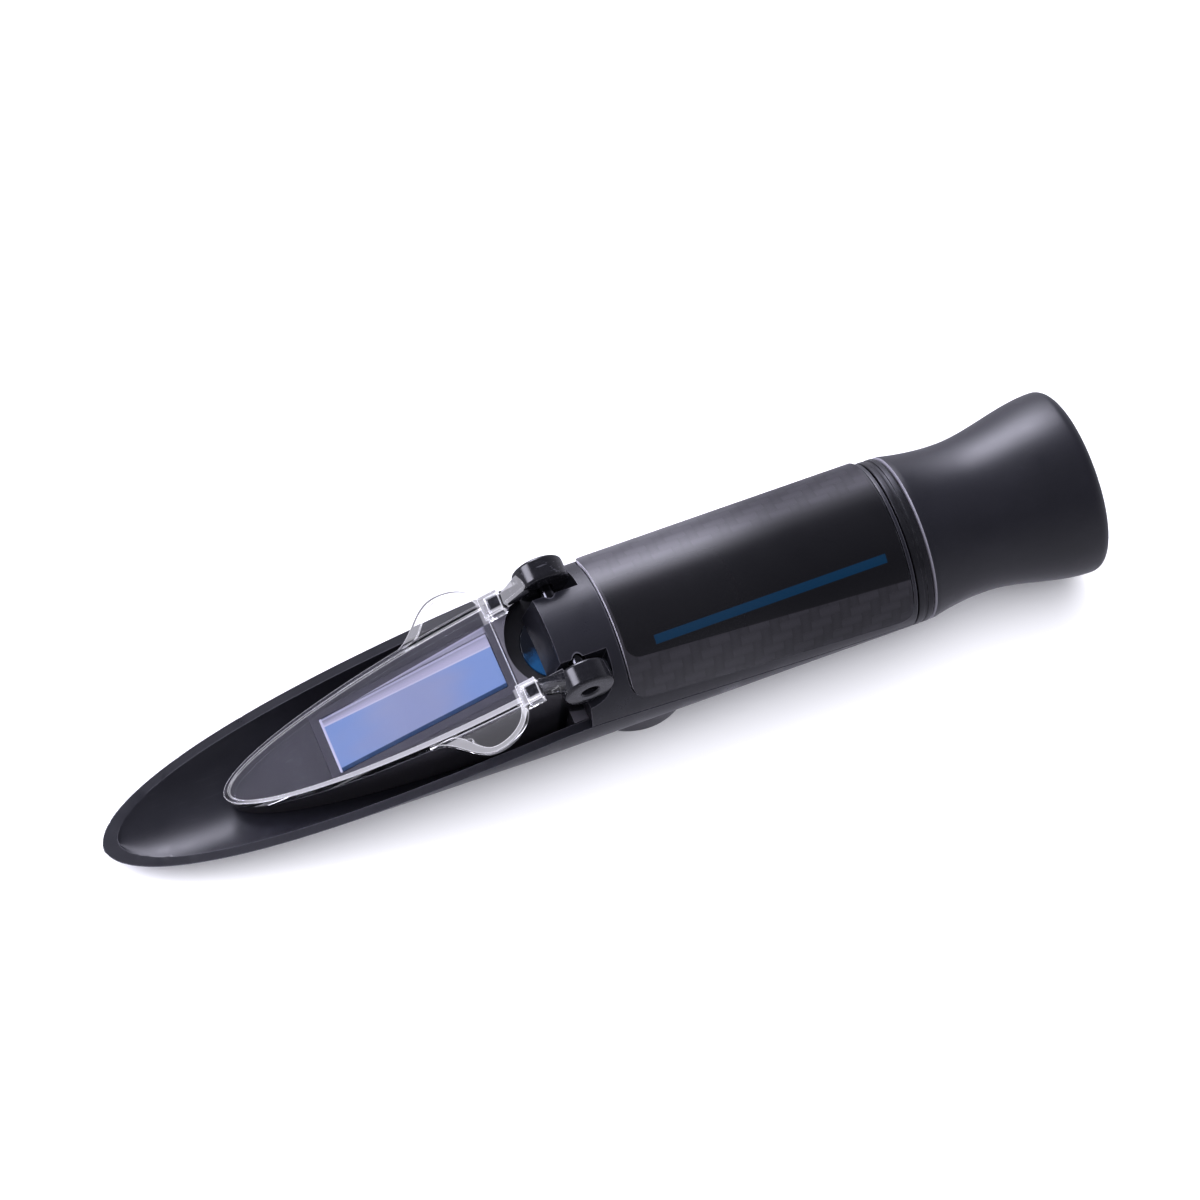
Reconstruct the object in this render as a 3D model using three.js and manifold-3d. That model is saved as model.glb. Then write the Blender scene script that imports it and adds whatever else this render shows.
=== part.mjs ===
// A hand-held honey refractometer: a scoop-nosed tube with a measuring prism under a hinged
// clear daylight plate, a scale disc seen through a focusing eyepiece, and a rubber eyecup.
//
// Millimetres. The barrel axis lies along +X, with the scoop's tip at the low end and the
// eyecup at the high end; +Z is up, out of the prism. Stations along the barrel are counted
// from the scoop's tip and heights from the barrel axis. The finished group is shifted so
// that its origin is below the middle of the object, on the surface that it lies on.

import * as THREE from 'three';
import { mergeVertices } from 'three/addons/utils/BufferGeometryUtils.js';
import Module from 'manifold-3d';

const wasm = await Module();
wasm.setup();

const { degToRad } = THREE.MathUtils;

// Whole instrument
const barrelDiameter = 27.8;
const eyecupDiameter = 31;
const shellWall = 1.6;
const clearance = 0.3;
const overrun = 2;

// Scoop-nosed lower housing
const scoopLength = 87;
const scoopFullness = 3;
const rimTipDrop = 11.9;
const rimPitch = degToRad(11.3);
const rimBand = 2.5;
const tipFlat = 1.2;
const noseRun = 24;
const noseDepthShare = 0.5;
const seamRearHeight = -3;
const seamPitch = degToRad(5.7);
const seamBlend = 2;

// Boss under the belly, with the scale adjuster in it
const adjusterSetback = 12.5;
const bossDiameter = 21;
const adjusterDiameter = 15;
const adjusterThickness = 1.1;
const adjusterRecess = 0.3;
const adjusterShaftDiameter = 4;
const coinSlotLength = 10;
const coinSlotWidth = 1.4;
const coinSlotDepth = 0.6;
const adjusterSealDiameter = 8;
const adjusterSealSection = 0.9;
const studDiameter = 2.5;
const studEntry = 0.5;

// Barrel cover and its glossy label sleeve
const barrelLength = 56.6;
const bridgeOverhang = 2.9;
const bridgeWidth = 11.7;
const bridgeUnderside = 7;
const bulkheadThickness = 1.4;
const lightBoreDiameter = 11.2;
const labelSetback = 7.2;
const labelRearLand = 0.9;
const labelThickness = 0.75;
const labelRecess = 0.6;
const labelSeamMargin = 4;
const labelCornerRadius = 3.2;

// Hinge across the top of the barrel's front end
const hingeStation = 77.5;
const hingeHeight = 11.4;
const knuckleDiameter = 8.6;
const knuckleLength = 3.9;
const knuckleSideGap = 1.75;
const knuckleNotchGap = 0.6;
const knuckleEdge = 0.5;
const hingePinDiameter = 2.4;
const hingePinSink = 1.2;
const hingePinGrip = 2.6;

// Daylight plate, in a frame whose origin is the hinge axis and whose X runs down the slope
const platePitch = degToRad(21.8);
const plateRear = 9.7;
const plateLength = 50.5;
const plateWidth = 18.2;
const plateFullness = 1.8;
const plateThickness = 1.8;
const plateUnderside = 1.2;
const plateRimWidth = 0.9;
const plateRimHeight = 0.5;
const earLength = 17;
const earReach = 5;
const earCrest = 6.8;
const earSwellShare = 0.45;
const earThickness = 1.4;
const earSteps = 10;
const socketLength = 3.4;
const socketWidth = 3.8;
const socketHeight = 2.5;
const socketOverlap = 0.4;
const tabWidth = 2.2;
const tabThickness = 1.2;
const tabLength = 2.4;
const armOverhang = 0.7;
const armWidth = 2.4;
const armThickness = 2.1;

// Prism, its seal and the box that carries them in the scoop
const prismLength = 30.3;
const prismWidth = 9.8;
const prismRear = 11.4;
const prismBottomDrop = 6;
const prismFrontLean = 3.4;
const sealWidth = 0.9;
const sealThickness = 0.8;
const pitRadius = 10.2;
const pitCentreSetback = 1.1;
const pitFloor = 6.7;
const flangeThickness = 4.6;

// Optical tube inside the barrel
const tubeWall = 1.4;
const tubeRearSetback = 0.3;
const objectiveDiameter = 13.8;
const objectiveCrown = 1.6;
const objectiveEdge = 2.2;
const cellWall = 1.6;
const cellLength = 7;
const cellLip = 1.1;
const cellFootLength = 5;
const cellFootHeight = 0.8;
const cellTravel = 0.35;
const retainerLength = 1.6;
const bimetalThickness = 0.5;
const bimetalWidth = 4;
const bimetalGap = 3;
const bimetalFootLength = 3;
const stopLead = 8;
const stopThickness = 1.2;
const stopOpening = 11;
const scaleLead = 3.3;
const scaleThickness = 1.5;
const scaleDiameter = 17;
const scaleHolderLength = 5;
const scaleLip = 1;

// Eyepiece and eyecup
const ringLength = 2.6;
const ringGrooveDepth = 0.4;
const ringGrooveWidth = 0.6;
const eyecupLength = 30.7;
const neckDiameter = 25.4;
const neckRun = 10.5;
const mouthFillet = 2;
const mouthLip = 0.7;
const mouthDepth = 14;
const mouthShoulder = 1;
const sleeveDiameter = 22;
const sleeveNoseLength = 11;
const sleeveBore = 18.6;
const eyepieceSealSection = 1;
const carrierLength = 23;
const carrierWall = 1;
const carrierSetback = 3.2;
const carrierLip = 0.8;
const lensEdge = 1.6;
const lensCrown = 1.9;
const lensLand = 1.1;
const lensSpacing = 12;
const lensRingWidth = 0.8;
const lensRingLength = 2;

// Facets round a turned piece
const largeSides = 48;
const mediumSides = 32;
const smallSides = 20;

// Sizes that follow from the ones above
const barrelRadius = barrelDiameter / 2;
const eyecupRadius = eyecupDiameter / 2;
const boreRadius = barrelRadius - shellWall;
const restDrop = eyecupRadius;
const barrelEnd = hingeStation + barrelLength;
const ringStart = barrelEnd + clearance;
const eyecupStart = ringStart + ringLength + clearance;
const overallLength = eyecupStart + eyecupLength;
const adjusterStation = hingeStation + adjusterSetback;
const objectiveStation = adjusterStation;
const bridgeFront = hingeStation - bridgeOverhang;
const labelFront = hingeStation + labelSetback;
const labelEnd = barrelEnd - labelRearLand;
const knuckleRadius = knuckleDiameter / 2;
const knuckleInner = bridgeWidth / 2 + knuckleSideGap;
const knuckleOuter = knuckleInner + knuckleLength;
const plateTop = plateUnderside + plateThickness;
const tubeOuter = boreRadius - clearance;
const tubeInner = tubeOuter - tubeWall;
const bulkheadBack = hingeStation + knuckleRadius + knuckleNotchGap + bulkheadThickness;
const tubeFront = bulkheadBack + clearance;
const tubeRear = barrelEnd - tubeRearSetback;
const fittedRadius = tubeInner - clearance;
const cellInner = objectiveDiameter / 2 + clearance;
const cellOuter = cellInner + cellWall;
const sleeveEnd = overallLength - mouthDepth;
const carrierFront = sleeveEnd - carrierSetback - carrierLength;
const carrierOuter = sleeveBore / 2 - clearance;
const carrierInner = carrierOuter - carrierWall;
const lensRadius = carrierInner - clearance;
const sleeveFront = eyecupStart - sleeveNoseLength;
const scaleStation = Math.min(sleeveFront, carrierFront) - scaleLead - scaleHolderLength;
const stopStation = scaleStation - stopLead;

// Materials
const plastic = (color, roughness) => new THREE.MeshStandardMaterial({ color, roughness, metalness: 0 });
const metal = (color, roughness) => new THREE.MeshStandardMaterial({ color, roughness, metalness: 1 });
const glass = (color, opacity) => new THREE.MeshStandardMaterial({
  color,
  opacity,
  roughness: 0.05,
  metalness: 0,
  transparent: true,
});

const mouldedBlack = () => plastic(0x24242a, 0.42);
const glossBlack = () => plastic(0x131316, 0.12);
const softRubber = () => plastic(0x1b1b1d, 0.6);
const clearPlastic = () => glass(0xe6e9ee, 0.35);
const opticalGlass = () => glass(0xd5e2f2, 0.4);
const prismGlass = () => glass(0x7f97d4, 0.8);
const anodised = () => metal(0x2a2a2e, 0.4);
const brightSteel = () => metal(0xb9bbc0, 0.25);
const brass = () => metal(0xb08a4a, 0.35);

// Turns a geometry into a solid: shared corners are merged and flat slivers dropped
function toSolid(geometry) {
  const bare = new THREE.BufferGeometry();
  bare.setAttribute('position', geometry.getAttribute('position'));
  bare.setIndex(geometry.getIndex());
  const welded = mergeVertices(bare);
  const index = welded.getIndex().array;
  const corners = [];
  for (let i = 0; i < index.length; i += 3) {
    const [a, b, c] = [index[i], index[i + 1], index[i + 2]];
    if (a !== b && b !== c && c !== a) corners.push(a, b, c);
  }
  const vertProperties = Float32Array.from(welded.getAttribute('position').array);
  const triVerts = Uint32Array.from(corners);
  return new wasm.Manifold(new wasm.Mesh({ numProp: 3, vertProperties, triVerts }));
}

function toGeometry(solid) {
  const { vertProperties, triVerts } = solid.getMesh();
  const geometry = new THREE.BufferGeometry();
  geometry.setAttribute('position', new THREE.BufferAttribute(vertProperties, 3));
  geometry.setIndex(new THREE.BufferAttribute(triVerts, 1));
  geometry.computeVertexNormals();
  return geometry;
}

const solidOf = (shape) => (shape.isBufferGeometry ? toSolid(shape) : shape);
const join = (...shapes) => shapes.map(solidOf).reduce((whole, next) => whole.add(next));
const common = (...shapes) => shapes.map(solidOf).reduce((whole, next) => whole.intersect(next));
const cut = (body, ...tools) => tools.map(solidOf).reduce((rest, tool) => rest.subtract(tool), solidOf(body));

// A ring of [station, radius] points turned about the barrel axis
function turned(profile, sides = mediumSides) {
  const points = profile.map(([station, radius]) => new THREE.Vector2(radius, station));
  return new THREE.LatheGeometry(points, sides).rotateZ(-Math.PI / 2);
}

function rod(from, to, radius, sides) {
  return turned([[from, 0], [from, radius], [to, radius], [to, 0]], sides);
}

function tube(from, to, outer, inner, sides) {
  return turned([[from, inner], [from, outer], [to, outer], [to, inner], [from, inner]], sides);
}

// The same, turned about an upright axis: [height, radius] points
function turnedUpright(profile, sides = mediumSides) {
  const points = profile.map(([height, radius]) => new THREE.Vector2(radius, height));
  return new THREE.LatheGeometry(points, sides).rotateX(Math.PI / 2);
}

function upright(from, to, radius, sides) {
  return turnedUpright([[from, 0], [from, radius], [to, radius], [to, 0]], sides);
}

// A rod across the barrel, from one side distance to the other, about the local origin
function crossRod(from, to, radius, sides = smallSides) {
  const length = to - from;
  return new THREE.CylinderGeometry(radius, radius, length, sides).translate(0, from + length / 2, 0);
}

// A box between two corners
function block(low, high) {
  const size = high.map((value, axis) => value - low[axis]);
  const middle = high.map((value, axis) => (value + low[axis]) / 2);
  return new THREE.BoxGeometry(...size).translate(...middle);
}

// A side view outline in X and Z, given its width across the barrel
function sideExtrusion(shape, width) {
  const settings = { depth: width, bevelEnabled: false, curveSegments: 6 };
  return new THREE.ExtrudeGeometry(shape, settings).rotateX(Math.PI / 2).translate(0, width / 2, 0);
}

// A plan outline in X and Y, between two heights
function planExtrusion(shape, from, to, curveSegments = 12) {
  const settings = { depth: to - from, bevelEnabled: false, curveSegments };
  return new THREE.ExtrudeGeometry(shape, settings).translate(0, 0, from);
}

const outline = (points) => new THREE.Shape(points.map(([x, y]) => new THREE.Vector2(x, y)));

// Share of the full half width that a boat-shaped outline has at a share of its length
function boatShare(lengthShare, fullness) {
  const left = Math.max(0, 1 - Math.max(0, lengthShare));
  return Math.sqrt(1 - left ** fullness);
}

// Height of the line where the lower housing ends: it climbs with the rim of the scoop, bends
// over below the hinge and falls gently along the barrel
function seamHeight(station) {
  const rim = station * Math.tan(rimPitch) - rimTipDrop;
  const seam = seamRearHeight + (barrelEnd - station) * Math.tan(seamPitch);
  return (rim + seam - Math.hypot(rim - seam, seamBlend)) / 2;
}

// Stations for the housing's cross sections, closest together at the tip
const noseSections = 10;
const bodySections = 24;

function sectionStations(from, to) {
  const noseEnd = from + noseRun;
  const nose = Array.from({ length: noseSections }, (_, i) => from + noseRun * (i / noseSections) ** 2);
  const spacing = (to - noseEnd) / bodySections;
  const body = Array.from({ length: bodySections + 1 }, (_, i) => noseEnd + spacing * i);
  return [...nose, ...body];
}

// One cross section of the scoop: an arc about the barrel axis, drawn in towards the tip
const sectionSteps = 20;

function scoopSection(station, radius, setback, rise) {
  const seam = seamHeight(station);
  const chord = Math.sqrt(radius ** 2 - Math.min(seam, radius) ** 2);
  const boat = radius * boatShare((station - setback) / (scoopLength - setback), scoopFullness);
  const narrowing = Math.min(1, Math.max(boat, tipFlat / 2) / chord);
  const noseLeft = Math.max(0, 1 - (station - setback) / noseRun);
  const depth = 1 - noseDepthShare * noseLeft ** 2;
  const top = Math.min(seam + rise, radius - clearance);
  const reach = Math.acos(-top / radius);
  return Array.from({ length: sectionSteps + 1 }, (_, i) => {
    const angle = reach * (2 * (i / sectionSteps) - 1);
    const height = -radius * Math.cos(angle);
    const lowered = height < seam ? seam + (height - seam) * depth : height;
    return new THREE.Vector3(station, radius * Math.sin(angle) * narrowing, lowered);
  });
}

// A closed skin over rings that hold the same number of points, with flat ends
function skin(rings) {
  const count = rings[0].length;
  const corners = [];
  for (let ring = 0; ring + 1 < rings.length; ring += 1) {
    for (let point = 0; point < count; point += 1) {
      const next = (point + 1) % count;
      const [a, b] = [ring * count + point, ring * count + next];
      corners.push(a, b, a + count, b, b + count, a + count);
    }
  }
  const last = (rings.length - 1) * count;
  for (let point = 1; point + 1 < count; point += 1) {
    corners.push(0, point + 1, point);
    corners.push(last, last + point, last + point + 1);
  }
  const geometry = new THREE.BufferGeometry().setFromPoints(rings.flat());
  geometry.setIndex(corners);
  return geometry;
}

function scoopSolid(radius, setback, end, rise) {
  return skin(sectionStations(setback, end).map((station) => scoopSection(station, radius, setback, rise)));
}

// Everything above the seam between the lower housing and the barrel cover, or below it
function besideSeam(offset, limit) {
  const stations = sectionStations(0, barrelEnd + overrun);
  const line = stations.map((station) => [station, seamHeight(station) + offset]);
  const shape = outline([[0, limit], ...line, [barrelEnd + overrun, limit]]);
  return sideExtrusion(shape, 2 * (barrelRadius + overrun));
}

// The adjuster's shaft, and the bore for it through any wall
function atAdjuster(geometry) {
  return geometry.translate(adjusterStation, 0, 0);
}

const shaftBore = () => atAdjuster(upright(-restDrop, 0, adjusterShaftDiameter / 2 + clearance, smallSides));

// Heights of the adjuster's faces and of the seat above it
const adjusterFace = adjusterRecess - restDrop;
const adjusterBack = adjusterFace + adjusterThickness;
const adjusterSeat = adjusterBack + adjusterSealSection + clearance / 3;

function lowerHousing() {
  const outside = scoopSolid(barrelRadius, 0, barrelEnd, 0);
  const hollow = scoopSolid(boreRadius, rimBand, barrelEnd + overrun, overrun);
  const boss = atAdjuster(upright(-restDrop, -boreRadius / 2, bossDiameter / 2, largeSides));
  const seat = atAdjuster(upright(-restDrop - overrun, adjusterSeat, adjusterDiameter / 2 + clearance));
  return cut(join(outside, boss), hollow, seat, shaftBore());
}

// Places of the daylight plate's frame, carried over to the barrel's frame
const slope = new THREE.Matrix4().makeRotationY(-platePitch).setPosition(hingeStation, 0, hingeHeight);
const alongSlope = (distance, height) => new THREE.Vector3(-distance, 0, height).applyMatrix4(slope);
const platformDrop = plateUnderside - clearance;

// Prism outline in side view, grown outwards by a margin
function prismOutline(margin) {
  const rearTop = alongSlope(prismRear - margin, platformDrop);
  const frontTop = alongSlope(prismRear + prismLength + margin, platformDrop);
  const bottom = -prismBottomDrop - margin;
  return [
    [rearTop.x, rearTop.z],
    [rearTop.x, bottom],
    [frontTop.x + prismFrontLean, bottom],
    [frontTop.x, frontTop.z],
  ];
}

function prismBlock() {
  return sideExtrusion(outline(prismOutline(0)), prismWidth);
}

function prismPocket() {
  const inside = prismOutline(clearance);
  const mouth = [inside[3], inside[0]].map(([station, height]) => [station, height + overrun]);
  return sideExtrusion(outline([...inside, ...mouth]), prismWidth + 2 * clearance);
}

// A flat frame round the prism's upper face, in the plate's frame
function sealFrame(margin, thickness, lift) {
  const grow = sealWidth + clearance + margin;
  const halfWidth = prismWidth / 2 + grow;
  const low = [-prismRear - prismLength - grow, -halfWidth, platformDrop - thickness];
  const high = [-prismRear + grow, halfWidth, platformDrop + lift];
  return block(low, high);
}

function prismSeal() {
  const halfWidth = prismWidth / 2 + clearance;
  const low = [-prismRear - prismLength - clearance, -halfWidth, platformDrop - sealThickness - overrun];
  const high = [-prismRear + clearance, halfWidth, platformDrop + overrun];
  return cut(sealFrame(0, sealThickness, 0), block(low, high));
}

// Boat-shaped plan of the plate, and of the box below it once foreshortened
const plateSteps = 14;

function boatOutline(rear, length, halfWidth, inset) {
  const side = Array.from({ length: plateSteps + 1 }, (_, i) => {
    const lengthShare = (i / plateSteps) ** 2;
    const station = rear - length + inset + (length - inset) * lengthShare;
    return [station, (halfWidth - inset) * boatShare(lengthShare, plateFullness)];
  });
  const mirrored = side.slice(1).map(([x, y]) => [x, -y]).reverse();
  return outline([...mirrored, ...side]);
}

// A span across the barrel, on the near side (-1) or the far side (+1)
const span = (side, inner, outer) => [side * inner, side * outer].sort((a, b) => a - b);

const atHinge = (geometry) => geometry.translate(hingeStation, 0, hingeHeight);

// The round space that a knuckle turns in
function knuckleRoom(side) {
  const [from, to] = span(side, bridgeWidth / 2, barrelRadius + overrun);
  return atHinge(crossRod(from, to, knuckleRadius + knuckleNotchGap, mediumSides));
}

function prismBox() {
  const shortened = Math.cos(platePitch);
  const boatRear = hingeStation - plateRear * shortened;
  const boatLength = plateLength * shortened;
  const halfWidth = plateWidth / 2;
  const rear = hingeStation - clearance;
  const boat = planExtrusion(boatOutline(boatRear, boatLength, halfWidth, 0), -barrelRadius, barrelRadius);
  const tail = block([boatRear - clearance, -halfWidth, -barrelRadius], [rear, halfWidth, barrelRadius]);
  const bulk = overallLength;
  const aboveSlope = block([-bulk, -bulk, platformDrop], [bulk, bulk, bulk]).applyMatrix4(slope);
  const wedge = cut(join(boat, tail), aboveSlope);
  const inside = scoopSolid(boreRadius - clearance, rimBand + clearance, barrelEnd, barrelRadius);
  const openAbove = block([0, -bulk, -rimTipDrop / 2], [bulk, bulk, bulk]);
  const body = common(wedge, join(common(inside, block([0, -bulk, -bulk], [rear, bulk, bulk])), openAbove));
  const flangeBlock = block([rear - overrun, -bulk, -bulk], [rear + flangeThickness, bulk, bulk]);
  const flange = common(inside, flangeBlock, besideSeam(-clearance, -bulk));
  const pitStation = hingeStation + pitCentreSetback;
  const pit = upright(pitFloor, bulk, pitRadius, largeSides).translate(pitStation, 0, 0);
  const light = rod(hingeStation - prismRear, tubeFront, lightBoreDiameter / 2);
  const sealSeat = sealFrame(clearance, sealThickness + clearance, overrun).applyMatrix4(slope);
  return cut(join(body, flange), pit, light, prismPocket(), sealSeat, ...[-1, 1].map(knuckleRoom));
}

// Outline of the label in side view, grown outwards by a margin
function labelOutline(margin) {
  const front = labelFront - margin;
  const rear = labelEnd + margin;
  const corner = labelCornerRadius + margin;
  const lower = (station) => seamHeight(station) + labelSeamMargin - margin;
  const top = barrelRadius + overrun;
  const shape = new THREE.Shape();
  shape.moveTo(front, top);
  shape.lineTo(front, lower(front) + corner);
  shape.quadraticCurveTo(front, lower(front), front + corner, lower(front + corner));
  shape.lineTo(rear - corner, lower(rear - corner));
  shape.quadraticCurveTo(rear, lower(rear), rear, lower(rear) + corner);
  shape.lineTo(rear, top);
  return shape;
}

function labelBand(outer, inner, margin) {
  const sleeve = tube(labelFront - overrun, labelEnd + overrun, outer, inner, largeSides);
  return common(sleeve, sideExtrusion(labelOutline(margin), 2 * (barrelRadius + overrun)));
}

function labelSleeve() {
  const inner = barrelRadius - labelRecess + clearance;
  return labelBand(inner + labelThickness, inner, 0);
}

// The notch that the barrel cover has for a knuckle beside the bridge
function knuckleNotch(side) {
  const radius = knuckleRadius + knuckleNotchGap;
  const [from, to] = span(side, bridgeWidth / 2, barrelRadius + overrun);
  const ahead = block([-barrelRadius, from, -overallLength], [0, to, barrelRadius]);
  const above = block([-radius, from, 0], [radius, to, barrelRadius]);
  return [knuckleRoom(side), ...[ahead, above].map(atHinge)];
}

function hingeBore(from, to) {
  return atHinge(crossRod(from, to, hingePinDiameter / 2 + clearance));
}

function barrelShell() {
  const body = rod(bridgeFront, barrelEnd, barrelRadius, largeSides);
  const bore = rod(bulkheadBack, barrelEnd + overrun, boreRadius, largeSides);
  const light = rod(bridgeFront - overrun, tubeFront, lightBoreDiameter / 2);
  const bulk = barrelRadius + overrun;
  const belowBridge = block([bridgeFront - overrun, -bulk, -bulk], [hingeStation, bulk, bridgeUnderside]);
  const labelSeat = labelBand(bulk, barrelRadius - labelRecess, clearance);
  const aboveSeam = besideSeam(clearance, bulk);
  const notches = [-1, 1].flatMap(knuckleNotch);
  const pinHole = hingeBore(-bulk, bulk);
  return cut(common(body, aboveSeam), bore, light, belowBridge, labelSeat, ...notches, pinHole);
}

// A ring of round section about the barrel axis, or about an upright one
const sealSteps = 6;

function sealProfile(middle, radius, section) {
  return Array.from({ length: sealSteps + 1 }, (_, i) => {
    const turn = (2 * Math.PI * (i % sealSteps)) / sealSteps;
    return [middle - (section / 2) * Math.cos(turn), radius + (section / 2) * Math.sin(turn)];
  });
}

function adjusterSeal() {
  const middle = adjusterBack + (adjusterSeat - adjusterBack) / 2;
  const profile = sealProfile(middle, adjusterSealDiameter / 2, adjusterSealSection);
  return atAdjuster(turnedUpright(profile, smallSides));
}

// Captive screw: its coin-slotted head fills the boss and its stud works in the lens cell's foot
function adjustingScrew() {
  const shaft = adjusterShaftDiameter / 2;
  const shaftTop = -tubeInner - clearance;
  const stud = studDiameter / 2;
  const studTop = studEntry - cellOuter;
  const screw = turnedUpright([
    [adjusterFace, 0],
    [adjusterFace, adjusterDiameter / 2],
    [adjusterBack, adjusterDiameter / 2],
    [adjusterBack, shaft],
    [shaftTop, shaft],
    [shaftTop, stud],
    [studTop, stud],
    [studTop, 0],
  ]);
  const slotLow = [-coinSlotLength / 2, -coinSlotWidth / 2, adjusterFace - overrun];
  const slotHigh = [coinSlotLength / 2, coinSlotWidth / 2, adjusterFace + coinSlotDepth];
  return atAdjuster(toGeometry(cut(screw, block(slotLow, slotHigh))));
}

function opticalTube() {
  return cut(tube(tubeFront, tubeRear, tubeOuter, tubeInner, largeSides), shaftBore());
}

// Rear end of the lens seat inside the objective's cell
const cellRear = objectiveStation + cellLength / 2;
const objectiveRear = cellRear - cellLip - clearance;

function objectiveCell() {
  const front = cellRear - cellLength;
  const ring = turned([
    [front, cellInner],
    [front, cellOuter],
    [cellRear, cellOuter],
    [cellRear, cellInner - cellLip],
    [cellRear - cellLip, cellInner - cellLip],
    [cellRear - cellLip, cellInner],
    [front, cellInner],
  ]);
  const half = cellFootLength / 2;
  const footLow = [objectiveStation - half, -half, -cellOuter - cellFootHeight];
  const footHigh = [objectiveStation + half, half, -cellInner - cellWall / 2];
  const holeTop = studEntry - cellOuter + clearance + cellTravel;
  const hole = upright(-barrelRadius, holeTop, studDiameter / 2 + clearance, smallSides);
  return cut(join(ring, block(footLow, footHigh)), atAdjuster(hole));
}

// A lens turned about the axis, with a crown on each face inside a flat land
const crownSteps = 3;

function lens(rear, radius, edge, land, frontCrown, rearCrown) {
  const aperture = radius - land;
  const shares = Array.from({ length: crownSteps + 1 }, (_, i) => i / crownSteps);
  const bulge = (share) => 1 - share ** 2;
  const front = shares.map((share) => [rear - edge - frontCrown * bulge(share), aperture * share]);
  const back = shares.map((share) => [rear + rearCrown * bulge(share), aperture * share]).reverse();
  return turned([...front, [rear - edge, radius], [rear, radius], ...back]);
}

function objectiveLens() {
  const radius = objectiveDiameter / 2;
  return lens(objectiveRear, radius, objectiveEdge, cellLip + clearance, objectiveCrown, objectiveCrown);
}

function objectiveRetainer() {
  const rear = objectiveRear - objectiveEdge - clearance;
  return tube(rear - retainerLength, rear, cellInner - clearance, cellInner - cellLip);
}

// Leaf of two metals over the lens cell, fixed to the tube at its rear end
function bimetalStrip() {
  const low = cellOuter + cellTravel + clearance / 2;
  const wallHeight = Math.sqrt(tubeInner ** 2 - (bimetalWidth / 2) ** 2) - clearance;
  const half = bimetalWidth / 2;
  const rear = stopStation - bimetalGap;
  const leaf = block([objectiveStation, -half, low], [rear, half, low + bimetalThickness]);
  return join(leaf, block([rear - bimetalFootLength, -half, low], [rear, half, wallHeight]));
}

function apertureStop() {
  return tube(stopStation, stopStation + stopThickness, fittedRadius, stopOpening / 2);
}

function scaleHolder() {
  const seat = scaleDiameter / 2 + clearance;
  const lip = seat - clearance - scaleLip;
  const rear = scaleStation + scaleHolderLength;
  return turned([
    [scaleStation, lip],
    [scaleStation, fittedRadius],
    [rear, fittedRadius],
    [rear, seat],
    [scaleStation + scaleLip, seat],
    [scaleStation + scaleLip, lip],
    [scaleStation, lip],
  ]);
}

const scaleFront = scaleStation + scaleLip + clearance;

function scaleDisc() {
  return rod(scaleFront, scaleFront + scaleThickness, scaleDiameter / 2);
}

function scaleRetainer() {
  const front = scaleFront + scaleThickness + clearance;
  return tube(front, scaleStation + scaleHolderLength, scaleDiameter / 2, scaleDiameter / 2 - scaleLip);
}

// Ring that closes the barrel, with a groove outside and a seat for the eyepiece's seal inside
const sealSeatDepth = eyepieceSealSection + clearance / 2;

function rearRing() {
  const groove = ringStart + (ringLength - ringGrooveWidth) / 2;
  const end = ringStart + ringLength;
  const sealSeat = tubeInner + sealSeatDepth;
  return turned([
    [ringStart, tubeInner],
    [ringStart, barrelRadius],
    [groove, barrelRadius],
    [groove, barrelRadius - ringGrooveDepth],
    [groove + ringGrooveWidth, barrelRadius - ringGrooveDepth],
    [groove + ringGrooveWidth, barrelRadius],
    [end, barrelRadius],
    [end, sealSeat],
    [end - sealSeatDepth, sealSeat],
    [end - sealSeatDepth, tubeInner],
    [ringStart, tubeInner],
  ], largeSides);
}

function eyepieceSeal() {
  const middle = ringStart + ringLength - sealSeatDepth / 2;
  return turned(sealProfile(middle, tubeInner + sealSeatDepth / 2, eyepieceSealSection));
}

// Sleeve that the eyecup is pressed on, with a nose that turns in the optical tube
function focusSleeve() {
  const bore = sleeveBore / 2;
  return turned([
    [sleeveFront, bore],
    [sleeveFront, fittedRadius],
    [eyecupStart, fittedRadius],
    [eyecupStart, sleeveDiameter / 2],
    [sleeveEnd, sleeveDiameter / 2],
    [sleeveEnd, bore],
    [sleeveFront, bore],
  ], largeSides);
}

// Outer line of the eyecup: in from the ring to the neck, then a soft S out to the mouth
const neckSteps = 3;
const flareSteps = 7;
const filletSteps = 3;
const mouthSteps = 3;

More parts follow.
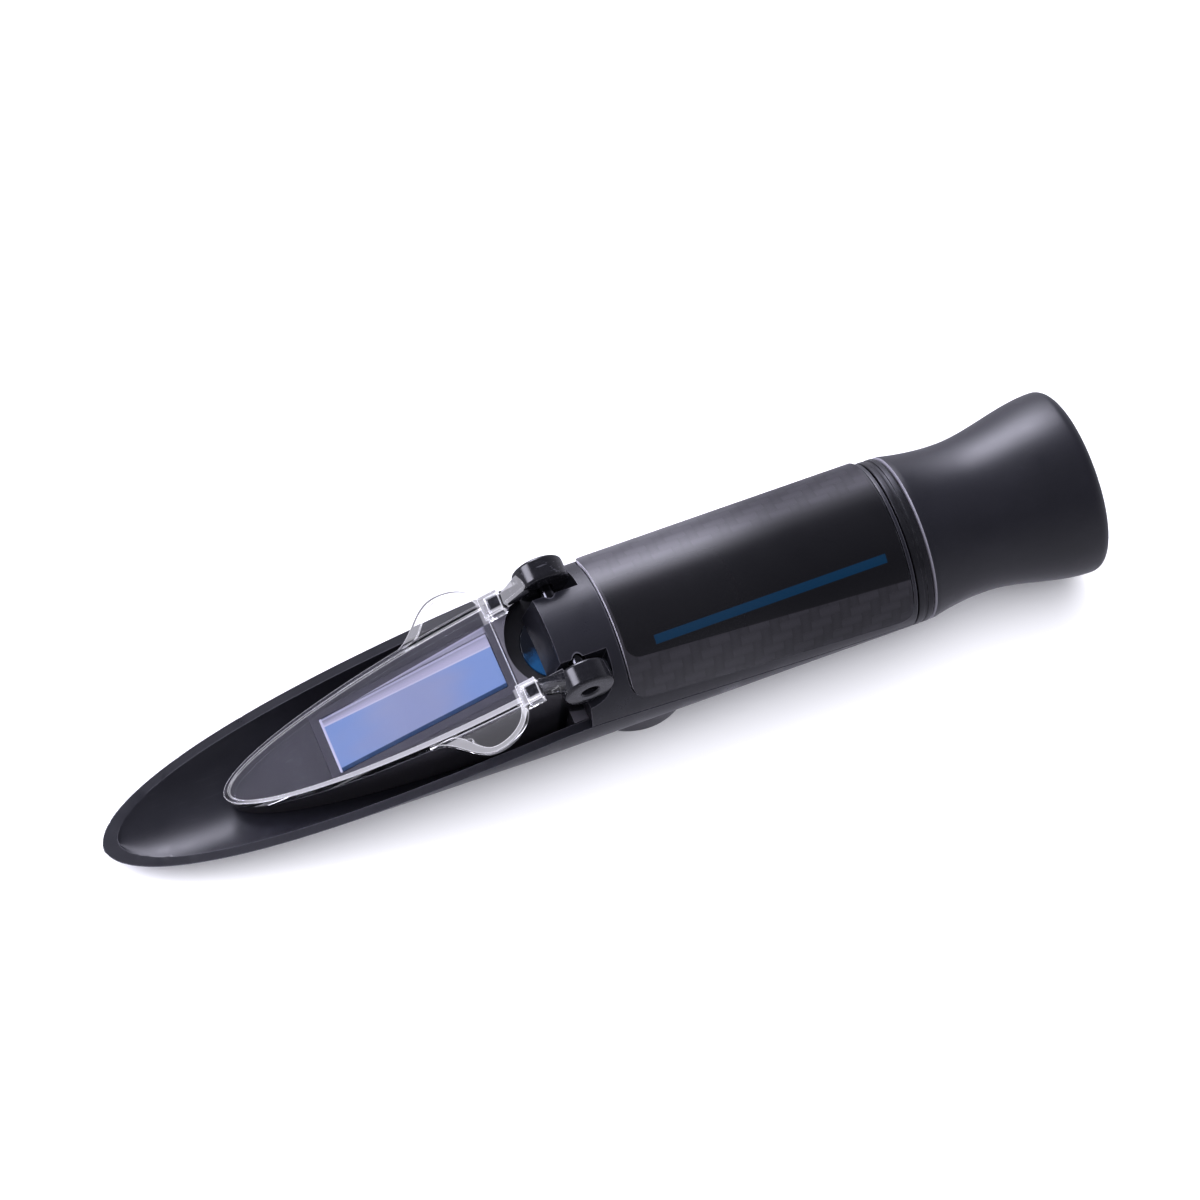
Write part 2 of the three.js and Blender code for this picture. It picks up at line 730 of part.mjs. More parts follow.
function eyecup() {
  const neck = neckDiameter / 2;
  const root = barrelRadius;
  const neckEnd = eyecupStart + neckRun;
  const flareEnd = overallLength - mouthFillet;
  const steps = (count) => Array.from({ length: count }, (_, i) => i / count);
  const waist = steps(neckSteps).map((t) => [eyecupStart + neckRun * t, neck + (root - neck) * (1 - t) ** 2]);
  const flare = steps(flareSteps).map((t) => [
    neckEnd + (flareEnd - neckEnd) * t,
    neck + (eyecupRadius - neck) * (3 * t ** 2 - 2 * t ** 3),
  ]);
  const fillet = steps(filletSteps).map((t) => [
    flareEnd + mouthFillet * Math.sin((t * Math.PI) / 2),
    eyecupRadius - mouthFillet * (1 - Math.cos((t * Math.PI) / 2)),
  ]);
  const mouth = eyecupRadius - mouthFillet - mouthLip;
  const lip = steps(filletSteps).map((t) => [
    overallLength - mouthLip * (1 - Math.cos((t * Math.PI) / 2)),
    eyecupRadius - mouthFillet - mouthLip * Math.sin((t * Math.PI) / 2),
  ]);
  const sleeveSeat = sleeveDiameter / 2 + clearance;
  const floor = sleeveEnd + clearance + mouthShoulder;
  const cup = steps(mouthSteps).map((t) => [
    overallLength - mouthLip + (floor - overallLength + mouthLip) * t,
    mouth + (sleeveSeat - mouth) * t ** 2,
  ]);
  return turned([
    ...waist,
    ...flare,
    ...fillet,
    ...lip,
    ...cup,
    [floor, sleeveSeat],
    [floor, sleeveBore / 2],
    [floor - mouthShoulder, sleeveBore / 2],
    [floor - mouthShoulder, sleeveSeat],
    [eyecupStart, sleeveSeat],
    waist[0],
  ], largeSides);
}

// Keyed carrier of the two eyepiece lenses, which slides in the sleeve to focus
const fieldLensRear = carrierFront + carrierLip + clearance + lensEdge;
const eyeLensRear = fieldLensRear + lensSpacing + lensEdge + 2 * clearance;

function lensCarrier() {
  const lip = carrierInner - carrierLip;
  return turned([
    [carrierFront, lip],
    [carrierFront, carrierOuter],
    [carrierFront + carrierLength, carrierOuter],
    [carrierFront + carrierLength, carrierInner],
    [carrierFront + carrierLip, carrierInner],
    [carrierFront + carrierLip, lip],
    [carrierFront, lip],
  ]);
}

const fieldLens = () => lens(fieldLensRear, lensRadius, lensEdge, lensLand, 0, lensCrown);
const eyeLens = () => lens(eyeLensRear, lensRadius, lensEdge, lensLand, lensCrown, lensCrown / 2);

function lensSpacer() {
  const front = fieldLensRear + clearance;
  return tube(front, front + lensSpacing, lensRadius, lensRadius - lensRingWidth);
}

function lensRetainer() {
  const front = eyeLensRear + clearance;
  return tube(front, front + lensRingLength, lensRadius, lensRadius - lensRingWidth);
}

// Control distance that makes a Bezier curve follow a quarter of an ellipse
const roundShare = 0.5523;

// Daylight plate: a clear boat-shaped tray with a finger ear and a hinge socket on each side
const socketEnd = socketLength - socketOverlap - plateRear;
const socketMiddle = plateUnderside + socketHeight / 2;
const tabEnd = socketEnd + clearance - tabLength;
const socketCentre = knuckleInner - armOverhang + armWidth / 2;

// Finger ear: it swells out of the plate's edge from the front and turns in sharply behind
function ear(side) {
  const root = side * (plateWidth / 2 - plateRimWidth);
  const crest = side * (plateWidth / 2 + earReach);
  const [front, middle, rear] = [earLength, earCrest, 0].map((distance) => -plateRear - distance);
  const swell = (middle - front) * earSwellShare;
  const shape = new THREE.Shape();
  shape.moveTo(front, root);
  shape.bezierCurveTo(front + swell, root, middle - swell, crest, middle, crest);
  shape.bezierCurveTo(
    middle + (rear - middle) * roundShare,
    crest,
    rear,
    crest + (root - crest) * (1 - roundShare),
    rear,
    root,
  );
  shape.closePath();
  return planExtrusion(shape, plateUnderside, plateUnderside + earThickness, earSteps);
}

// A square socket at each rear corner, and the hole in it for the hinge arm's tab
function socket(side) {
  const [from, to] = span(side, socketCentre - socketWidth / 2, socketCentre + socketWidth / 2);
  const top = plateUnderside + socketHeight;
  return block([socketEnd - socketLength, from, plateUnderside], [socketEnd, to, top]);
}

function socketHole(side) {
  const half = tabWidth / 2 + clearance;
  const [from, to] = span(side, socketCentre - half, socketCentre + half);
  const rise = tabThickness / 2 + clearance;
  const low = [tabEnd - clearance, from, socketMiddle - rise];
  return block(low, [socketEnd + overrun, to, socketMiddle + rise]);
}

function daylightPlate() {
  const whole = boatOutline(-plateRear, plateLength, plateWidth / 2, 0);
  const inside = boatOutline(-plateRear, plateLength, plateWidth / 2, plateRimWidth);
  const slab = planExtrusion(whole, plateUnderside, plateTop + plateRimHeight);
  const tray = planExtrusion(inside, plateTop, plateTop + overrun);
  const sides = [-1, 1];
  const underTray = planExtrusion(inside, plateUnderside - overrun, plateUnderside + overrun);
  const ears = sides.map((side) => cut(ear(side), underTray));
  return cut(join(cut(slab, tray), ...ears, ...sides.map(socket)), ...sides.map(socketHole));
}

// Hinge knuckle with the arm and tab that hold the plate
function hingeArm(side) {
  const inner = knuckleInner;
  const outer = knuckleOuter;
  const profile = [
    [0, inner],
    [knuckleRadius - knuckleEdge, inner],
    [knuckleRadius, inner + knuckleEdge],
    [knuckleRadius, outer - knuckleEdge],
    [knuckleRadius - knuckleEdge, outer],
    [0, outer],
  ];
  const mirrored = profile.map(([radius, reach]) => [radius, side * reach]);
  const points = (side > 0 ? mirrored : mirrored.reverse()).map(([x, y]) => new THREE.Vector2(x, y));
  const knuckle = new THREE.LatheGeometry(points, mediumSides);
  const [armFrom, armTo] = span(side, socketCentre - armWidth / 2, socketCentre + armWidth / 2);
  const rise = armThickness / 2;
  const arm = block([socketEnd + clearance, armFrom, socketMiddle - rise], [0, armTo, socketMiddle + rise]);
  const [tabFrom, tabTo] = span(side, socketCentre - tabWidth / 2, socketCentre + tabWidth / 2);
  const half = tabThickness / 2;
  const tab = block([tabEnd, tabFrom, socketMiddle - half], [0, tabTo, socketMiddle + half]);
  const [boreFrom, boreTo] = span(side, 0, barrelRadius);
  return cut(join(knuckle, arm, tab), crossRod(boreFrom, boreTo, hingePinDiameter / 2 + clearance));
}

function hingePin(side) {
  const [from, to] = span(side, bridgeWidth / 2 - hingePinGrip, knuckleOuter - hingePinSink);
  return crossRod(from, to, hingePinDiameter / 2);
}

// Assembly
const refractometer = new THREE.Group();
refractometer.position.set(-overallLength / 2, 0, restDrop);

const slopedBed = new THREE.Group();
slopedBed.position.set(hingeStation, 0, hingeHeight);
slopedBed.rotation.y = -platePitch;
refractometer.add(slopedBed);

const hingeLine = new THREE.Group();
hingeLine.position.copy(slopedBed.position);
refractometer.add(hingeLine);

function place(parent, name, shape, material) {
  const geometry = shape.isBufferGeometry ? shape : toGeometry(shape);
  const mesh = new THREE.Mesh(geometry, material);
  mesh.name = name;
  parent.add(mesh);
}

place(refractometer, 'lower_housing', lowerHousing(), mouldedBlack());
place(refractometer, 'prism_box', prismBox(), mouldedBlack());
place(refractometer, 'measuring_prism', prismBlock(), prismGlass());
place(slopedBed, 'prism_seal', prismSeal(), softRubber());
place(refractometer, 'barrel_cover', barrelShell(), mouldedBlack());
place(refractometer, 'label_sleeve', labelSleeve(), glossBlack());
place(refractometer, 'optical_tube', opticalTube(), anodised());
place(refractometer, 'objective_cell', objectiveCell(), anodised());
place(refractometer, 'objective_lens', objectiveLens(), opticalGlass());
place(refractometer, 'objective_retainer', objectiveRetainer(), brass());
place(refractometer, 'bimetal_strip', bimetalStrip(), brass());
place(refractometer, 'aperture_stop', apertureStop(), anodised());
place(refractometer, 'scale_holder', scaleHolder(), anodised());
place(refractometer, 'scale_disc', scaleDisc(), opticalGlass());
place(refractometer, 'scale_retainer', scaleRetainer(), brass());
place(refractometer, 'adjusting_screw', adjustingScrew(), mouldedBlack());
place(refractometer, 'adjuster_seal', adjusterSeal(), softRubber());
place(refractometer, 'rear_ring', rearRing(), anodised());
place(refractometer, 'eyepiece_seal', eyepieceSeal(), softRubber());
place(refractometer, 'focus_sleeve', focusSleeve(), anodised());
place(refractometer, 'eyecup', eyecup(), softRubber());
place(refractometer, 'lens_carrier', lensCarrier(), anodised());
place(refractometer, 'field_lens', fieldLens(), opticalGlass());
place(refractometer, 'lens_spacer', lensSpacer(), anodised());
place(refractometer, 'eye_lens', eyeLens(), opticalGlass());
place(refractometer, 'lens_retainer', lensRetainer(), anodised());
place(slopedBed, 'daylight_plate', daylightPlate(), clearPlastic());
for (const [side, hand] of [[-1, 'near'], [1, 'far']]) {
  place(slopedBed, `hinge_arm_${hand}`, hingeArm(side), glossBlack());
  place(hingeLine, `hinge_pin_${hand}`, hingePin(side), brightSteel());
}

export default refractometer;
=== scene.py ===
import math

import bpy
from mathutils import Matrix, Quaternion, Vector


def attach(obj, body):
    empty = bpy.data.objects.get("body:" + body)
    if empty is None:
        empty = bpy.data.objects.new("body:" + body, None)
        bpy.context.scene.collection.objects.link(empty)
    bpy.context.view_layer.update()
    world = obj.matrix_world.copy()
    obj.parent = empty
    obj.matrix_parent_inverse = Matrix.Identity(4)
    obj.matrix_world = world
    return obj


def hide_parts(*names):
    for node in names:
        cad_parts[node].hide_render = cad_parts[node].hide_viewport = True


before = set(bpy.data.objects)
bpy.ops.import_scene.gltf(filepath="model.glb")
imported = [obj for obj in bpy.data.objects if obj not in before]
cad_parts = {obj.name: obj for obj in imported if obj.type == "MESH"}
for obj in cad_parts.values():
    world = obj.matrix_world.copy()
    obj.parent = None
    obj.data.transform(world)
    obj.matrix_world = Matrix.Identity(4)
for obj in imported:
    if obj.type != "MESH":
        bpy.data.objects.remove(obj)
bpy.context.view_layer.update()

# A hand-held honey refractometer. Sizes are in mm and are given along the barrel from the
# scoop's tip (station), across it (side, near side negative) and above its axis (height).
mm = 0.001
instrument = {
    "middleStation": 84, "restDrop": 15.5, "barrelRadius": 13.9, "boreRadius": 12.3, "gap": 0.3,
    "barrelEnd": 134.1, "overallLength": 168.0, "beyond": 2,
    "hingeStation": 77.5, "hingeHeight": 11.4, "slope": 21.8,
}
barrelRadius = instrument["barrelRadius"]
boreRadius = instrument["boreRadius"]
gap = instrument["gap"]
barrelEnd = instrument["barrelEnd"]
beyond = instrument["beyond"]
weldWidth = 0.0005 * mm
hingeStation = instrument["hingeStation"]
hingeHeight = instrument["hingeHeight"]
slope = math.radians(instrument["slope"])


def spot(station, side=0.0, height=0.0):
    return Vector((station - instrument["middleStation"], side, height + instrument["restDrop"])) * mm


def flat(along, side=0.0, height=0.0):  # a place in the daylight plate's own frame, round the hinge
    return Vector((along, side, height)) * mm


# Modelling by hand: pick a piece, go into edit mode, come out again
def deselect():
    if bpy.context.mode != "OBJECT":
        bpy.ops.object.mode_set(mode="OBJECT")
    bpy.ops.object.select_all(action="DESELECT")


def pick(piece):
    deselect()
    piece.select_set(True)
    bpy.context.view_layer.objects.active = piece


def openUp(piece):
    pick(piece)
    bpy.ops.object.mode_set(mode="EDIT")
    bpy.ops.mesh.select_mode(type="VERT")
    bpy.ops.mesh.select_all(action="SELECT")


def closeUp():
    bpy.ops.mesh.select_all(action="SELECT")
    bpy.ops.mesh.remove_doubles(threshold=weldWidth)
    bpy.ops.mesh.normals_make_consistent(inside=False)
    bpy.ops.object.mode_set(mode="OBJECT")


def settle(piece):  # the place goes into the mesh, and the object back to the origin
    pick(piece)
    bpy.ops.object.transform_apply(location=True, rotation=True, scale=True)
    return piece


def drawn(name, points):  # a line drawn out point by point from a single vertex
    deselect()
    bpy.ops.mesh.primitive_plane_add(size=mm, location=points[0])
    piece = bpy.context.object
    piece.name = piece.data.name = name
    settle(piece)
    openUp(piece)
    bpy.ops.mesh.merge(type="CENTER")
    for here, there in zip(points, points[1:]):
        bpy.ops.mesh.extrude_region_move(TRANSFORM_OT_translate={"value": there - here})
    bpy.ops.mesh.select_all(action="SELECT")
    return piece  # still in edit mode


def filled(name, points):  # a closed outline with one face in it, still in edit mode
    piece = drawn(name, [*points, points[0]])
    bpy.ops.mesh.remove_doubles(threshold=weldWidth)
    bpy.ops.mesh.edge_face_add()
    return piece


def extruded(name, points, reach):  # a closed outline filled and drawn out into a solid
    piece = filled(name, points)
    bpy.ops.mesh.extrude_region_move(TRANSFORM_OT_translate={"value": reach})
    closeUp()
    return piece


def acrossBarrel(name, outline, half):  # [station, height] points seen from the side, made solid from side to side
    return extruded(name, [spot(s, half, h) for s, h in outline], Vector((0, -2 * half, 0)) * mm)


def spun(name, points, centre, axis, sides=96):
    piece = drawn(name, points)
    bpy.ops.mesh.spin(steps=sides, angle=2 * math.pi, center=centre, axis=axis)
    closeUp()
    return piece


def turned(name, profile, sides=128):  # [station, radius] points spun round the barrel's axis
    return spun(name, [spot(s, 0, r) for s, r in profile], spot(0), (1, 0, 0), sides)


def turnedUpright(name, profile, station, sides=96):  # [height, radius] points round an upright axis
    points = [spot(station + r, 0, h) for h, r in profile]
    return spun(name, points, spot(station), (0, 0, 1), sides)


def turnedAcross(name, profile, sides=64):  # [side, radius] points round the hinge, in its own frame
    return spun(name, [flat(0, s, r) for s, r in profile], (0, 0, 0), (0, 1, 0), sides)


def plug(start, end, radius):  # profile of a plain cylinder, from its axis out and back
    return [(start, 0), (start, radius), (end, radius), (end, 0)]


def rod(name, start, end, radius, sides=128):
    return turned(name, plug(start, end, radius), sides)


def block(name, low, high):
    deselect()
    low, high = Vector(low), Vector(high)
    bpy.ops.mesh.primitive_cube_add(size=1, location=(low + high) / 2, scale=high - low)
    piece = bpy.context.object
    piece.name = piece.data.name = name
    return settle(piece)


def atHinge(piece, tilt=0.0):  # from the hinge's own frame to its place on the barrel
    piece.location = spot(hingeStation, 0, hingeHeight)
    piece.rotation_euler = (0, -tilt, 0)
    return settle(piece)


def combine(piece, tool, operation):
    boolean = piece.modifiers.new("combine", "BOOLEAN")
    boolean.operation = operation
    boolean.solver = "EXACT"
    boolean.object = tool
    pick(piece)
    bpy.ops.object.modifier_apply(modifier=boolean.name)
    bpy.data.objects.remove(tool)
    openUp(piece)
    closeUp()
    return piece


def carve(piece, *tools):
    for tool in tools:
        combine(piece, tool, "DIFFERENCE")
    return piece


def addOn(piece, *tools):
    for tool in tools:
        combine(piece, tool, "UNION")
    return piece


def soften(piece, width, segments=3, angle=32, weld=0.02):  # rounded edges, and even shading across them
    openUp(piece)
    bpy.ops.mesh.remove_doubles(threshold=weld * mm)
    bpy.ops.mesh.dissolve_degenerate(threshold=weld * mm)
    closeUp()
    bevel = piece.modifiers.new("soften", "BEVEL")
    bevel.width = width * mm
    bevel.segments = segments
    bevel.limit_method = "ANGLE"
    bevel.angle_limit = math.radians(angle)
    pick(piece)
    bpy.ops.object.modifier_apply(modifier=bevel.name)
    return smooth(piece)


def smooth(piece, angle=35):
    pick(piece)
    bpy.ops.object.shade_smooth_by_angle(angle=math.radians(angle))
    even = piece.modifiers.new("even", "WEIGHTED_NORMAL")
    even.keep_sharp = True
    bpy.ops.object.modifier_apply(modifier=even.name)
    return piece


def rounded(corners, steps=4):  # [along, out, rounding] corners to a line of points
    points = []
    for i, (along, out, rounding) in enumerate(corners):
        here = Vector((along, out))
        if not rounding:
            points.append(here)
            continue
        before = Vector(corners[i - 1][:2])
        after = Vector(corners[(i + 1) % len(corners)][:2])
        start = here + (before - here).normalized() * rounding
        end = here + (after - here).normalized() * rounding
        for step in range(steps + 1):
            t = step / steps
            points.append(start * (1 - t) ** 2 + here * 2 * t * (1 - t) + end * t ** 2)
    return points


def ringOf(name, corners, sides=128):  # a closed profile with rounded corners, spun round the barrel's axis
    points = rounded(corners)
    return turned(name, [*points, points[0]], sides)


# Node trees
def give(tree, socket, value):
    if isinstance(value, bpy.types.NodeSocket):
        tree.links.new(value, socket)
    else:
        socket.default_value = value


def calc(tree, operation, *values, clamp=False):
    node = tree.nodes.new("ShaderNodeMath")
    node.operation = operation
    node.use_clamp = clamp
    for socket, value in zip(node.inputs, values):
        give(tree, socket, value)
    return node.outputs[0]


def times(tree, first, *others):
    for other in others:
        first = calc(tree, "MULTIPLY", first, other)
    return first


def plus(tree, first, *others, clamp=False):
    for other in others:
        first = calc(tree, "ADD", first, other, clamp=clamp)
    return first


def larger(tree, first, *others):
    for other in others:
        first = calc(tree, "MAXIMUM", first, other)
    return first


def minus(tree, first, second):
    return calc(tree, "SUBTRACT", first, second)


def over(tree, first, second):
    return calc(tree, "DIVIDE", first, second)


def sizeOf(tree, value):
    return calc(tree, "ABSOLUTE", value)


def apart(tree, vector):  # a vector's three numbers
    node = tree.nodes.new("ShaderNodeSeparateXYZ")
    tree.links.new(vector, node.inputs[0])
    return node.outputs


def dotted(tree, first, second):
    node = tree.nodes.new("ShaderNodeVectorMath")
    node.operation = "DOT_PRODUCT"
    give(tree, node.inputs[0], first)
    give(tree, node.inputs[1], second)
    return node.outputs["Value"]


def facing(tree):  # the surface's own normal
    return tree.nodes.new("ShaderNodeNewGeometry").outputs["Normal"]


def mixed(tree, share, first, second, how="MIX"):
    node = tree.nodes.new("ShaderNodeMix")
    node.data_type = "RGBA"
    node.blend_type = how
    for place, value in ((0, share), (6, first), (7, second)):
        give(tree, node.inputs[place], value)
    return node.outputs[2]


def between(tree, value, low, high, start=0.0, end=1.0):
    node = tree.nodes.new("ShaderNodeMapRange")
    node.interpolation_type = "SMOOTHSTEP"
    for place, number in enumerate((value, low, high, start, end)):
        give(tree, node.inputs[place], number)
    return node.outputs[0]


def objectPlace(tree, stretch=(1, 1, 1), turn=(0, 0, 0), centre=(0, 0, 0)):
    place = tree.nodes.new("ShaderNodeTexCoord").outputs["Object"]
    mapping = tree.nodes.new("ShaderNodeMapping")
    mapping.inputs["Location"].default_value = [-c * s for c, s in zip(centre, stretch)]
    mapping.inputs["Rotation"].default_value = turn
    mapping.inputs["Scale"].default_value = stretch
    tree.links.new(place, mapping.inputs["Vector"])
    return mapping.outputs[0]


def barrelPlace(tree):  # the place on the object, and its station in mm
    place = apart(tree, tree.nodes.new("ShaderNodeTexCoord").outputs["Object"])
    return place, plus(tree, over(tree, place[0], mm), instrument["middleStation"])


def speckle(tree, size, place, detail=2.0, coarseness=0.5):  # noise whose features have a size in mm
    node = tree.nodes.new("ShaderNodeTexNoise")
    give(tree, node.inputs["Vector"], place)
    scale = over(tree, 1 / mm, size) if isinstance(size, bpy.types.NodeSocket) else 1 / mm / size
    give(tree, node.inputs["Scale"], scale)
    node.inputs["Detail"].default_value = detail
    node.inputs["Roughness"].default_value = coarseness
    return node.outputs[0]


def newGroup(name, takes, gives):
    tree = bpy.data.node_groups.new(name, "ShaderNodeTree")
    for label, value in takes.items():
        kind = "NodeSocketColor" if isinstance(value, tuple) else "NodeSocketFloat"
        tree.interface.new_socket(label, in_out="INPUT", socket_type=kind).default_value = value
    for label, kind in gives.items():
        tree.interface.new_socket(label, in_out="OUTPUT", socket_type=kind)
    entry = tree.nodes.new("NodeGroupInput")
    leave = tree.nodes.new("NodeGroupOutput")
    return tree, entry.outputs, leave.inputs


def placed(tree, group, **values):  # a group set into a material with its own values
    node = tree.nodes.new("ShaderNodeGroup")
    node.node_tree = group
    for label, value in values.items():
        give(tree, node.inputs[label], value)
    return node.outputs


def rgb(red, green, blue):
    return (red, green, blue, 1.0)


colourSocket, valueSocket = "NodeSocketColor", "NodeSocketFloat"


def mouldedSkinGroup():  # spark-eroded moulding: fine grain, slow drift of colour, patches rubbed smoother by hands
    tree, takes, gives = newGroup(
        "mouldedSkin",
        {"Colour": rgb(0.02, 0.02, 0.02), "Rubbed": rgb(0.03, 0.03, 0.03), "Roughness": 0.4, "Grain": 0.2,
         "Drift": 0.06},
        {"Colour": colourSocket, "Roughness": valueSocket, "Height": valueSocket},
    )
    place = objectPlace(tree)
    grain = speckle(tree, takes["Grain"], place, 3.0, 0.6)
    drift = speckle(tree, 14.0, place, 2.0)
    handled = between(tree, speckle(tree, 5.0, place, 4.0, 0.6), 0.5, 0.72)
    tint = mixed(tree, times(tree, handled, 0.5), takes["Colour"], takes["Rubbed"])
    shade = between(tree, drift, 0.3, 0.7, 0.88, 1.12)
    speckled = times(tree, shade, between(tree, grain, 0.25, 0.75, 0.9, 1.1))
    give(tree, gives["Colour"], mixed(tree, 1.0, tint, speckled, "MULTIPLY"))
    uneven = times(tree, minus(tree, drift, 0.5), takes["Drift"])
    rougher = plus(tree, takes["Roughness"], uneven)
    rubbed = minus(tree, rougher, times(tree, handled, takes["Drift"]))
    give(tree, gives["Roughness"], plus(tree, rubbed, between(tree, grain, 0.3, 0.7, -0.02, 0.03), clamp=True))
    give(tree, gives["Height"], plus(tree, grain, times(tree, drift, 0.4)))
    return tree


def roundness(tree, radius, samples):  # 1 on a flat face, and less where an edge rounds over within the radius
    bevel = tree.nodes.new("ShaderNodeBevel")
    bevel.samples = samples
    give(tree, bevel.inputs["Radius"], radius)
    return dotted(tree, bevel.outputs[0], facing(tree))


evenEdge = (0.995, 0.9)


def edgeWearGroup():  # where edges have been rubbed, broken up so that no edge is worn evenly, and an even line along every edge for a painted highlight
    tree, takes, gives = newGroup(
        "edgeWearAndHighlight", {"Radius": 0.3 * mm, "Amount": 1.0}, {"Mask": valueSocket, "HighlightLine": valueSocket}
    )
    turning = roundness(tree, takes["Radius"], 4)
    broken = between(tree, speckle(tree, 1.6, objectPlace(tree), 5.0, 0.7), 0.42, 0.66)
    give(tree, gives["Mask"], times(tree, between(tree, turning, 0.99, 0.82), broken, takes["Amount"]))
    give(tree, gives["HighlightLine"], between(tree, turning, *evenEdge))
    return tree


def edgeLineGroup():  # an even line along every rounded edge
    tree, takes, gives = newGroup("edgeLine", {"Radius": 0.3 * mm}, {"Mask": valueSocket})
    give(tree, gives["Mask"], between(tree, roundness(tree, takes["Radius"], 6), *evenEdge))
    return tree


def fineScratchesGroup():  # three sets of hairlines that cross, as on anything polished and handled
    tree, takes, gives = newGroup("fineScratches", {"Amount": 0.5}, {"Mask": valueSocket, "Height": valueSocket})
    lines = []
    for turn, seed in ((0.5, 1.0), (-1.1, 7.0), (1.9, 13.0)):
        place = objectPlace(tree, (0.03, 1, 1), (turn, turn * 0.6, turn), (seed, seed, 0))
        lines.append(between(tree, speckle(tree, 0.35, place, 1.0), 0.66, 0.74))
    several = larger(tree, lines[0], lines[1], lines[2])
    sparse = between(tree, speckle(tree, 6.0, objectPlace(tree), 2.0), 0.48, 0.64)
    mask = times(tree, several, sparse, takes["Amount"])
    give(tree, gives["Mask"], mask)
    give(tree, gives["Height"], times(tree, mask, -1.0))
    return tree


def toolLinesGroup():  # the fine rings that turning leaves round the barrel's axis
    tree, takes, gives = newGroup(
        "toolLines", {"Pitch": 0.12, "Roughness": 0.35}, {"Roughness": valueSocket, "Height": valueSocket}
    )
    place = objectPlace(tree, (1, 0.02, 0.02))
    lines = speckle(tree, takes["Pitch"], place, 3.0, 0.7)
    patches = speckle(tree, 4.0, objectPlace(tree), 2.0)
    rough = plus(tree, takes["Roughness"], between(tree, lines, 0.3, 0.7, -0.06, 0.08))
    give(tree, gives["Roughness"], plus(tree, rough, between(tree, patches, 0.3, 0.7, -0.04, 0.04), clamp=True))
    give(tree, gives["Height"], lines)
    return tree


mouldedSkin = mouldedSkinGroup()
edgeWearAndHighlight = edgeWearGroup()
edgeLine = edgeLineGroup()
fineScratches = fineScratchesGroup()
toolLines = toolLinesGroup()
print("shared effects made")


def newMaterial(name, **plain):
    material = bpy.data.materials.new(name)
    material.use_nodes = True
    tree = material.node_tree
    shader = tree.nodes["Principled BSDF"]
    for label, value in plain.items():
        shader.inputs[label.replace("_", " ")].default_value = value
    return material, tree, shader.inputs


def bumped(tree, sockets, height, depth, strength=1.0):  # depth in mm
    bump = tree.nodes.new("ShaderNodeBump")
    bump.inputs["Strength"].default_value = strength
    bump.inputs["Distance"].default_value = depth * mm
    give(tree, bump.inputs["Height"], height)
    tree.links.new(bump.outputs[0], sockets["Normal"])


def mouldedMaterial(name, look):
    material, tree, sockets = newMaterial(name, **look.get("shader", {}))
    skin = placed(tree, mouldedSkin, Colour=look["colour"], Rubbed=look["rubbed"], Roughness=look["roughness"],
                  Grain=look["grain"], Drift=look["drift"])
    rubbed = placed(tree, edgeWearAndHighlight, Radius=look["wearWidth"] * mm, Amount=look["wear"])
    worn = rubbed["Mask"]
    scratched = placed(tree, fineScratches, Amount=look["scratches"])
    marks = larger(tree, worn, scratched["Mask"])
    colour = skin["Colour"]
    if "edgeHighlight" in look:  # painted highlight: a lighter, even line where the edges round over
        colour = mixed(tree, rubbed["HighlightLine"], colour, look["edgeHighlight"])
    give(tree, sockets["Base Color"], mixed(tree, marks, colour, look["worn"]))
    give(tree, sockets["Roughness"], plus(tree, skin["Roughness"], times(tree, marks, 0.12)))
    height = plus(tree, skin["Height"], scratched["Height"])
    bumped(tree, sockets, height, look["relief"])
    return material


def turnedMaterial(name, look):
    material, tree, sockets = newMaterial(name, **look.get("shader", {}))
    lines = placed(tree, toolLines, Pitch=look["pitch"], Roughness=look["roughness"])
    worn = placed(tree, edgeWearAndHighlight, Radius=look["wearWidth"] * mm, Amount=look["wear"])["Mask"]
    drift = between(tree, speckle(tree, 5.0, objectPlace(tree), 3.0), 0.35, 0.65)
    colour = mixed(tree, drift, look["colour"], look["tinted"])
    give(tree, sockets["Base Color"], mixed(tree, worn, colour, look["worn"]))
    give(tree, sockets["Roughness"], lines["Roughness"])
    bumped(tree, sockets, lines["Height"], look["relief"])
    return material


def reopened(material):  # a finished material, to paint something more on its colour
    return material, material.node_tree, material.node_tree.nodes["Principled BSDF"].inputs


def letLampsThrough(tree, colour):  # lamps reach what lies under clear plastic or glass
    output = tree.nodes["Material Output"]
    path = tree.nodes.new("ShaderNodeLightPath")
    clear = tree.nodes.new("ShaderNodeBsdfTransparent")
    clear.inputs["Color"].default_value = colour
    mix = tree.nodes.new("ShaderNodeMixShader")
    tree.links.new(path.outputs["Is Shadow Ray"], mix.inputs[0])
    tree.links.new(tree.nodes["Principled BSDF"].outputs[0], mix.inputs[1])
    tree.links.new(clear.outputs[0], mix.inputs[2])
    tree.links.new(mix.outputs[0], output.inputs["Surface"])


